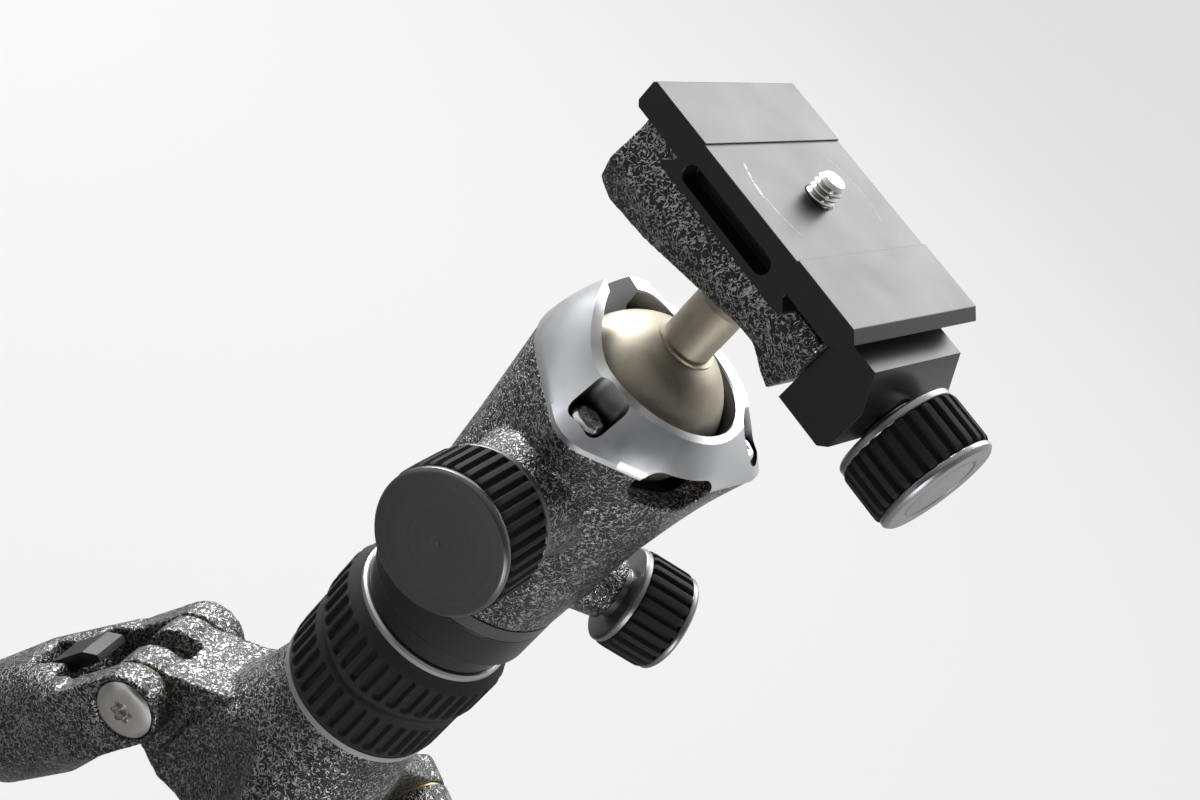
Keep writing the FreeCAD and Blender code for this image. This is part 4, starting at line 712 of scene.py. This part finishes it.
class TRIPOD_OT_plate(bpy.types.Operator):
    """Puts on the quick-release plate, with its edges softened, and the threaded screw."""
    bl_idname = "tripod.plate"
    bl_label = "Plate and screw"

    def execute(self, context):
        screw = context.scene.tripod_screw
        plate = bevelled(copied("quick_release_plate", "plate_body"), 0.4, 3)
        belongs(plate, "plate", "anodised_black", "plate_black", "quick_release_plate")
        thread = thread_surface("camera_screw_thread", screw.radius / MM - 0.005,
                                screw.pitch / MM, screw.thread_depth / MM, 0.0,
                                screw.height / MM, PLATE)
        belongs(thread, "camera_screw", "steel", "bright_steel", "camera_screw")
        head = turned("camera_screw_head", [
            (0, -9.35), (6.9, -9.35), (6.9, -6.05), (2.69, -6.05), (2.69, 0.01), (0, 0.01),
        ], PLATE, 64, 0.4)
        belongs(head, "camera_screw", "steel", "bright_steel", "camera_screw")
        return {"FINISHED"}


def leaning_flanks(obj):
    """The platform's long sides lean in above and below a ridge. With x along the clamp, y
    across it and d the depth, a side at |y| over 12 moves in by 0.28 (ridge - d) above the
    ridge and by 0.30 (d - ridge) below it, at most 2.4, where ridge(x) rises to the jaw."""
    c, s = math.cos(PLATFORM_TURN), math.sin(PLATFORM_TURN)
    count = len(obj.data.vertices)
    points = np.empty(count * 3, np.float32)
    obj.data.vertices.foreach_get("co", points)
    points = points.reshape(-1, 3)
    x = (points[:, 0] * c + points[:, 1] * s) / MM
    y = (points[:, 1] * c - points[:, 0] * s) / MM
    d = -points[:, 2] / MM
    off = d - np.interp(x, *RIDGE)
    inset = np.where(off < 0, -0.28 * off, 0.30 * off) * smooth_step(12, 20, np.abs(y))
    y = y - np.sign(y) * np.minimum(inset, 2.4)
    points[:, 0] = (x * c - y * s) * MM
    points[:, 1] = (x * s + y * c) * MM
    obj.data.vertices.foreach_set("co", points.reshape(-1))
    obj.data.update()
    return obj


class TRIPOD_OT_clamp(bpy.types.Operator):
    """Puts on the platform casting and the movable jaw."""
    bl_idname = "tripod.clamp"
    bl_label = "Platform and jaw"

    def execute(self, context):
        platform = leaning_flanks(cast("platform", "platform_skin", 0.42, 6))
        belongs(platform, "platform", "hammertone", "hammertone_enamel", "platform")
        jaw = bevelled(copied("movable_jaw", "jaw_block"), 0.35)
        belongs(jaw, "jaw", "anodised_black", "black_anodised", "movable_jaw")
        return {"FINISHED"}


# Knobs
def sleeve(name, r, z, angle, inner, at, sharp):
    """A grip with outer points (r, z) at each angle and a bore of radius inner."""
    z = np.broadcast_to(z, r.shape)
    bore = np.full((len(angle), 1), inner)
    r = np.concatenate([bore, r, bore], axis=1)
    z = np.concatenate([z[:, :1], z, z[:, -1:]], axis=1)
    return finish_mesh(grid(name, placed(around(r, z, angle), at), close_columns=True), sharp)


def ribbed_grip(name, radius, depth, low, high, inner, count, at):
    """Ribs round a grip: r = R - d (1 - s) - e(z) (0.35 + 0.65 s), with s a smooth step of
    cos(n a) that leaves flat ribs between round grooves, and e drawing both ends in."""
    angle = turn_in(count * 14)
    rib = smooth_step(-0.75, 0.3, np.cos(count * angle))
    share = np.array([0.0, 0.004, 0.03, 0.08, 0.2, 0.5, 0.8, 0.92, 0.97, 0.996, 1.0])
    z = low + (high - low) * share
    edge = np.array([1.1, 0.55, 0.18, 0.03, 0, 0, 0, 0.03, 0.18, 0.55, 1.1])
    r = radius - depth * (1 - rib)[:, None] - edge[None, :] * (0.35 + 0.65 * rib[:, None])
    return sleeve(name, r, z, angle, inner, at, 50)


def knob(name, count, depth, metal, at, face, radius, length, shaft, reach):
    """The metal core, turned from a profile, and the ribbed grip on it."""
    neck = 1.6
    ring = neck + 1.9
    top = length - 1.9
    core = radius - depth - 1.0
    bare = radius - 0.42
    profile = [(0, -reach), (shaft, -reach), (shaft, 0), (radius * 0.5, 0.02),
               (radius * 0.5, neck), (bare - 0.5, neck), (bare, neck + 0.5), (bare, ring - 0.25),
               (bare - 0.3, ring), (core, ring), (core, top), (bare - 0.2, top),
               (bare, top + 0.3), (bare, length - 0.75)] + face(bare, length)
    metal_core = turned(f"{name}_core_turned", profile, at, 128, 0.22)
    belongs(metal_core, name, "knob_metal", metal, f"{name}_core")
    grip = ribbed_grip(f"{name}_grip_ribs", radius - 0.02, depth, ring + 0.02, top - 0.02,
                       core + 0.01, count, at)
    belongs(grip, name, "grip_rubber", "grip_rubber", f"{name}_grip")


def plain_face(bare, length):
    """A bevelled edge and a face with a lathe's centre mark."""
    return [(bare - 0.7, length), (0.5, length - 0.02), (0.2, length - 0.15), (0, length - 0.15)]


def grooved_face(bare, length):
    """A bevelled edge and a groove round a slightly sunk face."""
    return [(bare - 0.8, length), (bare * 0.66, length), (bare * 0.66 - 0.15, length - 0.35),
            (bare * 0.66 - 0.45, length - 0.35), (bare * 0.66 - 0.6, length - 0.08),
            (0, length - 0.08)]


class TRIPOD_OT_knobs(bpy.types.Operator):
    """Turns the lock knob, the pan knob and the clamp knob, each with its ribbed grip."""
    bl_idname = "tripod.knobs"
    bl_label = "Knobs"

    def execute(self, context):
        grips = context.scene.tripod_grips
        depth = grips.rib_depth / MM
        knob("lock_knob", grips.lock_ribs, depth, "lock_metal", LOCK, plain_face,
             radius=15.8, length=19.15, shaft=4.0, reach=21.55)
        knob("pan_knob", grips.pan_ribs, depth, "pan_metal", PAN, grooved_face,
             radius=12.2, length=16.65, shaft=2.5, reach=14.55)
        knob("clamp_knob", grips.clamp_ribs, depth, "clamp_metal", CLAMP, grooved_face,
             radius=13.4, length=16.6, shaft=2.5, reach=23.1)
        return {"FINISHED"}


# Ball, ring and ring screws
def lobed_screw(name, at, radius, height, socket, depth, shank, length):
    """A screw with a domed head: rings of points at share s of the way from a six-lobed
    socket r = R (1 + 0.16 cos 6a) out to the rim, at a height of h (1 - 0.4 s^3)."""
    angle = turn_in(96)
    lobes = socket * (1 + 0.16 * np.cos(6 * angle))[:, None]
    s = np.linspace(0, 1, 10)
    well = lobes * np.array([0.0, 0.55, 0.97, 0.99])
    side = np.full((96, 5), [radius, radius - 0.2, shank, shank, 0.0])
    r = np.concatenate([well, lobes + (radius - lobes) * s, side], axis=1)
    z = np.concatenate([height - np.array([depth + 0.2, depth + 0.1, depth, 0.06]),
                        height - height * 0.40 * s ** 3, [0.2, 0.0, 0.0, -length, -length]])
    return finish_mesh(grid(name, placed(around(r, z, angle), at)), 38)


def soft_prism(name, width, height, corner, low, high, at):
    """A bar for carving, whose section is a rectangle with round corners:
    x = (w/2 - c) sign(cos t) + c cos t, y = (h/2 - c) sign(sin t) + c sin t."""
    angle = (np.arange(64) + 0.5) * TURN / 64
    c, s = np.cos(angle), np.sin(angle)
    x = (width / 2 - corner) * np.sign(c) + corner * c
    y = (height / 2 - corner) * np.sign(s) + corner * s
    rings = np.array([(0.0, low), (1.0, low), (1.0, high), (0.0, high)])
    points = np.stack([x[:, None] * rings[None, :, 0], y[:, None] * rings[None, :, 0],
                       np.broadcast_to(rings[None, :, 1], (64, 4))], axis=-1)
    return grid(name, placed(points, at))


def towards(azimuth, height=0.0):
    """A frame on the axis whose Z points outwards and whose Y points up."""
    a = math.radians(azimuth)
    return frame_of((0, 0, BALL_CENTRE[2] + height), polar(1, a), (-math.sin(a), math.cos(a), 0))


def over_screw(azimuth, height=0.0):
    """A frame over a ring screw, with Z up and X outwards."""
    a = math.radians(azimuth)
    return frame_of(polar(LOBE_PLACE, a, BALL_CENTRE[2] + height), (0, 0, 1), polar(1, a))


def apart(degrees, azimuth):
    """Degrees between directions, at most half a turn."""
    return np.abs((degrees - azimuth + 180.0) % 360.0 - 180.0)


def belt_radius(ring, degrees):
    """A belt round a circle of radius R and round a lobe of radius q at each screw, P from the
    axis. It leaves the circle at the angle v with cos v = (R - q) / P. Its radius is R beyond
    v, R / cos(v - d) along the straight part, and P cos d + sqrt(q^2 - P^2 sin^2 d) over the
    lobe, with d the angle from the screw."""
    d = np.radians(np.min([apart(degrees, azimuth) for azimuth in SCREW_AZIMUTHS], axis=0))
    leave = math.acos((ring - LOBE_RADIUS) / LOBE_PLACE)
    meet = math.atan2(LOBE_RADIUS * math.sin(leave), LOBE_PLACE + LOBE_RADIUS * math.cos(leave))
    straight = ring / np.cos(leave - d)
    lobe = LOBE_PLACE * np.cos(d) + np.sqrt(
        np.maximum(LOBE_RADIUS ** 2 - (LOBE_PLACE * np.sin(d)) ** 2, 0.0))
    return np.where(d > leave, ring, np.where(d > meet, straight, lobe))


def ring_blank(name, ring):
    """The ring before carving: a belt with three lobes, a flank rising inwards to a ridge, a
    sloping top and a throat. The ridge stands at level - 0.3 plus the larger of near s(a - 196)
    and far s(a - 154), and 0.5 lower and 2 further in on the side across from the horns."""
    angle = turn_in(360)
    degrees = np.degrees(angle)
    level = ring.level / MM
    rise = np.maximum(ring.near_horn / MM * smooth_step(62, 6, apart(degrees, NEAR_HORN_AZIMUTH)),
                      ring.far_horn / MM * smooth_step(44, 8, apart(degrees, FAR_HORN_AZIMUTH)))
    low_side = smooth_step(80, 25, apart(degrees, LOW_SIDE_AZIMUTH))
    ridge = level + rise - 0.3 - 0.5 * low_side
    ridge_radius = 22.6 - 0.18 * rise - 2.0 * low_side
    belt = belt_radius(ring.outer / MM, degrees)
    share = np.linspace(0, 1, 10)[None, :]
    band = 0.9
    z = band + (ridge[:, None] - band) * share
    r = belt[:, None] + (ridge_radius - belt)[:, None] * share
    r = np.minimum(r + 0.5 * np.sin(np.pi * share), belt[:, None])
    mouth = ring.mouth / MM
    lip_height = level - 0.15 + 0.8 * rise
    rim = -0.38
    same = np.ones_like(angle)
    r = np.column_stack([19.4 * same, belt, r, (mouth + 0.3) * same, mouth * same,
                         18.6 * same, 17.95 * same, 17.95 * same])
    z = np.column_stack([rim * same, rim * same, z, lip_height, lip_height - 0.4,
                         8.6 * same, 7.0 * same, 6.0 * same])
    return grid(name, around(r, z, angle) + np.array(BALL_CENTRE), close_columns=True)


class TRIPOD_OT_ball_head(bpy.types.Operator):
    """Shapes the retaining ring with its horns and pockets, its screws, and the ball."""
    bl_idname = "tripod.ball_head"
    bl_label = "Ball and ring"

    def execute(self, context):
        ring = context.scene.tripod_ring
        blank = ring_blank("ring_crown", ring)
        side = ring.pocket / MM
        cutters = [soft_prism("cut_notch", ring.notch / MM, 80, 0.1, 0, 60, towards(NOTCH_AZIMUTH)),
                   soft_prism("cut_port", ring.port / MM, 13.2, 4.6, 0, 60,
                              towards(PORT_AZIMUTH, -3.4))]
        for azimuth in SCREW_AZIMUTHS:
            cutters.append(soft_prism("cut_pocket", side, side, 2.6, SCREW_SEAT, 30,
                                      over_screw(azimuth)))
            cutters.append(soft_prism("cut_hole", 3.1, 3.1, 1.5, -10, 8, over_screw(azimuth)))
        crown = bevelled(carved(blank, cutters), 0.26, 3, 26.0)
        belongs(crown, "head", "satin_aluminium", "satin_silver", "retaining_ring")
        for index, azimuth in enumerate(SCREW_AZIMUTHS, start=1):
            screw = lobed_screw(f"ring_screw_{index}", over_screw(azimuth, SCREW_SEAT),
                                radius=3.85, height=2.58, socket=1.7, depth=1.6, shank=1.45,
                                length=9.9)
            belongs(screw, "head", "steel", "bright_steel", "ring_screws")
        coated("champagne_coat", "ball_and_stem")
        coated("dark_plastic", "ball_cup")
        return {"FINISHED"}


# Head body and pan base
class TRIPOD_OT_head(bpy.types.Operator):
    """Gives the head body its cast skin, and finishes the scale ring and the pan base."""
    bl_idname = "tripod.head"
    bl_label = "Head body"

    def execute(self, context):
        body = cast("head_body", "head_skin", 0.5, 5)
        belongs(body, "head", "hammertone", "hammertone_enamel", "head_body")
        coated("scale_grey", "scale_ring")
        base = bevelled(copied("pan_base", "pan_base_turned"), 0.3)
        belongs(base, "column", "anodised_black", "black_anodised", "pan_base")
        return {"FINISHED"}


# Twist collar and column
def slotted_grip(name, top, bottom, profile, slots, depth, count, inner, at):
    """Rubber with rows of slots: r = R(s) - depth * m - g, with s the way down from the top.
    m is 1 inside rounded slots of each row (a box's distance with round ends, smoothed) and 0
    outside. g = 0.75 exp(-((s - 15.6 - 2.2 w) / 0.55)^2) is a groove between the rows that
    sways with the wave w."""
    angle = turn_in(count * 14)
    s = np.linspace(0, top - bottom, 84)
    knots = np.array(profile, float)
    r = np.interp(s, knots[:, 0], knots[:, 1])
    kernel = np.array([1, 2, 3, 2, 1]) / 9.0
    padded = np.concatenate([[r[0]] * 2, r, [r[-1]] * 2])
    r = np.convolve(padded, kernel, mode="valid")
    wave = 0.55 * np.sin(3 * angle)[:, None]
    pitch = TURN * r.max() / count
    x = ((angle[:, None] * count / TURN) % 1.0 - 0.5) * pitch
    mask = np.zeros((len(angle), len(s)))
    for start, end, half, bend in slots:
        far = end + bend * wave
        middle = (start + far) / 2
        long_half = (far - start) / 2
        across = np.abs(x) - (half - 0.7)
        along = np.abs(s[None, :] - middle) - (long_half - 0.7)
        outside = np.hypot(np.maximum(across, 0), np.maximum(along, 0))
        inside = np.minimum(np.maximum(across, along), 0)
        distance = outside + inside - 0.7
        mask = np.maximum(mask, smooth_step(0.28, -0.28, distance))
    waist = 0.75 * np.exp(-((s[None, :] - 15.6 - 2.2 * wave) / 0.55) ** 2)
    skin = r[None, :] - depth * mask - waist
    return sleeve(name, skin, top - s, angle, inner, at, 60)


class TRIPOD_OT_column(bpy.types.Operator):
    """Makes the twist collar's slotted rubber and finishes the collar, column and hook."""
    bl_idname = "tripod.column"
    bl_label = "Collar and column"

    def execute(self, context):
        grips = context.scene.tripod_grips
        low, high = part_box("collar_grip")
        top, bottom = high.z / MM - 0.01, low.z / MM + 0.01
        length = top - bottom
        profile = [(0, 19.9), (1.2, 20.9), (3.0, 22.1), (12.0, 22.1), (14.6, 21.4), (16.0, 20.9),
                   (18.0, 21.2), (length - 3, 21.2), (length - 1, 20.9), (length, 20.2)]
        slots = [(2.8, 12.8, 1.05, 1.6), (18.2, length - 2.2, 1.0, 0.0)]
        grip = slotted_grip("collar_rubber", top, bottom, profile, slots,
                            grips.slot_depth / MM, grips.collar_slots, 18.32, AXIS)
        belongs(grip, "collar", "grip_rubber", "grip_rubber", "collar_grip")
        coated("collar_metal", "collar_sleeve")
        coated("column_carbon", "column_tube")
        coated("dark_plastic", "column_plug")
        coated("bright_steel", "hook")
        return {"FINISHED"}


# Shoulder and legs
class TRIPOD_OT_shoulder(bpy.types.Operator):
    """Gives the shoulder casting its skin, and sets the hinge bolts and washers."""
    bl_idname = "tripod.shoulder"
    bl_label = "Shoulder and hinges"

    def execute(self, context):
        skin = cast("shoulder_casting", "shoulder_skin", 0.62, 8)
        belongs(skin, "shoulder", "hammertone", "hammertone_enamel", "shoulder_casting")
        coated("washer_brass", "hinge_washers")
        for index, azimuth in enumerate(LEG_AZIMUTHS, start=1):
            a = math.radians(azimuth)
            along = (-math.sin(a), math.cos(a), 0)
            point = Vector(polar(HINGE_RADIUS, a, HINGE_HEIGHT))
            seat = point + Vector(along) * HINGE_HALF_WIDTH
            bolt = lobed_screw(f"hinge_bolt_{index}", frame_of(seat, along, (0, 0, 1)),
                               radius=7.75, height=2.55, socket=2.7, depth=2.3, shank=3.98,
                               length=37.3)
            belongs(bolt, "shoulder", "steel", "bright_steel", "hinge_bolts")
        return {"FINISHED"}


def tab_window(azimuth):
    """The room in a leg's casting that its angle-stop tab slides in."""
    origin, axes = leg_frame(azimuth)
    low, high = TAB_ROOM
    centre = origin + axes[0] * (low[0] + high[0]) / 2
    return soft_prism("cut_tab", high[0] - low[0], high[1] - low[1], 0.05, low[2], high[2],
                      (centre, axes))


class TRIPOD_OT_legs(bpy.types.Operator):
    """Gives the leg castings their skins, and finishes tubes, twist locks, tabs and feet."""
    bl_idname = "tripod.legs"
    bl_label = "Legs"

    def execute(self, context):
        for index, azimuth in enumerate(LEG_AZIMUTHS, start=1):
            leg = f"leg_{index}"
            skin = carved(cast(f"{leg}_casting", f"{leg}_skin", 0.6, 6), [tab_window(azimuth)])
            finish_mesh(skin, 60)
            belongs(skin, leg, "hammertone", "hammertone_enamel", f"{leg}_casting")
            coated("black_anodised", f"{leg}_angle_tab")
            coated(f"{leg}_carbon", *[f"{leg}_tube_{n}" for n in (1, 2, 3, 4)])
            coated("grip_rubber", *[f"{leg}_lock_{n}" for n in (1, 2, 3)], f"{leg}_foot")
        return {"FINISHED"}


# Stage: floor, background, lamps and camera
def seen_directly(tree):
    """1 for rays from the camera and for what metal and glass show, else 0."""
    path = add(tree, "LightPath").outputs
    return strongest(tree, [path[f"Is {kind} Ray"] for kind in ("Camera", "Glossy",
                                                               "Transmission")])


def full_for_camera(tree, shade):
    """The shade, but 1 for rays straight from the camera."""
    return sums(tree, "MAXIMUM", shade, add(tree, "LightPath").outputs["Is Camera Ray"])


def lay_floor(stage):
    """A pale floor under the feet that shows metal a glow, stronger away from the front."""
    at = frame_of((0, 0, SOLID_BOX[0][2] / MM), (0, 0, 1), (1, 0, 0))
    reach = stage.floor_radius / MM
    floor = turned("floor", [(0, 0), (reach * 0.2, 0), (reach, 0)], at, 64, 0.0)
    tree, shader = new_tree("pale_floor")
    mottled = noise(tree, here(tree), 0.5, 2.0)
    base = blended(tree, mottled, opaque(stage.floor, 0.98), opaque(stage.floor, 1.02))
    join(tree, shader, base=base, rough=0.9)
    off = add(tree, "VectorMath", {0: here(tree), 1: (-0.7, -0.1, SOLID_BOX[0][2])},
              operation="DISTANCE").outputs["Value"]
    strength = full_for_camera(tree, spread(tree, off, 0.5, 2.2, stage.front_share, 1.0))
    glow = add(tree, "Emission", {"Color": opaque(stage.sky), "Strength": strength})
    share = sums(tree, "MULTIPLY", seen_directly(tree), 0.85)
    mix = add(tree, "MixShader", {0: share, 1: shader.outputs[0], 2: glow.outputs[0]})
    end = [item for item in tree.nodes if item.type == "OUTPUT_MATERIAL"][0]
    tree.links.new(mix.outputs[0], end.inputs["Surface"])
    floor.data.materials.append(bpy.data.materials["pale_floor"])


def light_world(scene, stage):
    """A dim even fill, and a pale studio for the camera and for what metal shows."""
    world = bpy.data.worlds.new("studio")
    world.use_nodes = True
    tree = world.node_tree
    tree.nodes.clear()
    end = tree.nodes.new("ShaderNodeOutputWorld")
    fill = add(tree, "Background", {"Color": (1, 1, 1, 1), "Strength": 0.11})
    way = add(tree, "SeparateXYZ", {0: add(tree, "TexCoord").outputs["Generated"]}).outputs
    lit = sums(tree, "MULTIPLY_ADD", way[0], -0.6,
               sums(tree, "MULTIPLY_ADD", way[2], 0.45, sums(tree, "MULTIPLY", way[1], 0.9)))
    strength = full_for_camera(tree, spread(tree, lit, -0.6, 0.6, stage.front_share, 1.0))
    pale = add(tree, "Background", {"Color": opaque(stage.sky), "Strength": strength})
    mix = add(tree, "MixShader", {0: seen_directly(tree), 1: fill.outputs[0],
                                  2: pale.outputs[0]})
    tree.links.new(mix.outputs[0], end.inputs["Surface"])
    scene.world = world


def hang_lamps(scene, stage):
    """Soft square lamps at the left, behind and at the right, aimed at the head."""
    target = Vector((0.01, 0.0, -0.08))
    for name, place, size, watts in (
            ("side_lamp", (-1.2, 0.6, 0.4), 0.9, stage.side_power),
            ("back_lamp", (-0.1, 1.35, 0.85), 1.3, stage.back_power),
            ("right_lamp", (1.0, -0.6, -0.15), 0.45, stage.right_power)):
        lamp = bpy.data.lights.new(name, "AREA")
        lamp.shape = "SQUARE"
        lamp.size = size
        lamp.energy = watts
        obj = bpy.data.objects.new(name, lamp)
        obj.location = place
        obj.rotation_euler = (target - Vector(place)).to_track_quat("-Z", "Y").to_euler()
        obj.visible_camera = False
        scene.collection.objects.link(obj)


def set_camera(scene):
    """The photograph's camera."""
    camera = bpy.data.cameras.new("camera")
    camera.lens = LENS
    camera.sensor_width = 36.0
    camera.clip_start = 0.01
    camera.clip_end = 50.0
    obj = bpy.data.objects.new("camera", camera)
    right, top = Vector(TO_RIGHT).normalized(), Vector(TO_TOP)
    top = (top - right * top.dot(right)).normalized()
    turn = Matrix((right, top, right.cross(top))).transposed()
    obj.matrix_world = Matrix.Translation(EYE) @ turn.to_4x4()
    scene.collection.objects.link(obj)
    scene.camera = obj


class TRIPOD_OT_stage(bpy.types.Operator):
    """Sets up the pale floor, the background, the lamps and the camera."""
    bl_idname = "tripod.stage"
    bl_label = "Stage"

    def execute(self, context):
        scene = context.scene
        stage = scene.tripod_stage
        lay_floor(stage)
        light_world(scene, stage)
        hang_lamps(scene, stage)
        set_camera(scene)
        scene.view_settings.view_transform = "Standard"
        return {"FINISHED"}


class TRIPOD_PT_panel(bpy.types.Panel):
    """Lists the steps that dress the tripod."""
    bl_idname = "TRIPOD_PT_panel"
    bl_label = "Travel tripod"
    bl_space_type = "VIEW_3D"
    bl_region_type = "UI"
    bl_category = "Tripod"

    def draw(self, context):
        for settings, group in SETTINGS:
            box = self.layout.box()
            for name in group.__annotations__:
                box.prop(getattr(context.scene, settings), name)
        for step in STEPS:
            self.layout.operator(step.bl_idname)


SETTINGS = (
    ("tripod_finish", FinishSettings),
    ("tripod_ring", RingSettings),
    ("tripod_grips", GripSettings),
    ("tripod_screw", ScrewSettings),
    ("tripod_stage", StageSettings),
)
STEPS = (
    TRIPOD_OT_finishes,
    TRIPOD_OT_plate,
    TRIPOD_OT_clamp,
    TRIPOD_OT_knobs,
    TRIPOD_OT_ball_head,
    TRIPOD_OT_head,
    TRIPOD_OT_column,
    TRIPOD_OT_shoulder,
    TRIPOD_OT_legs,
    TRIPOD_OT_stage,
)


def register():
    for name, group in SETTINGS:
        bpy.utils.register_class(group)
        setattr(bpy.types.Scene, name, PointerProperty(type=group))
    for step in STEPS:
        bpy.utils.register_class(step)
    bpy.utils.register_class(TRIPOD_PT_panel)


def unregister():
    bpy.utils.unregister_class(TRIPOD_PT_panel)
    for step in reversed(STEPS):
        bpy.utils.unregister_class(step)
    for name, group in reversed(SETTINGS):
        delattr(bpy.types.Scene, name)
        bpy.utils.unregister_class(group)


def main():
    register()
    for step in STEPS:
        group, name = step.bl_idname.split(".")
        getattr(getattr(bpy.ops, group), name)()


if __name__ == "__main__":
    main()
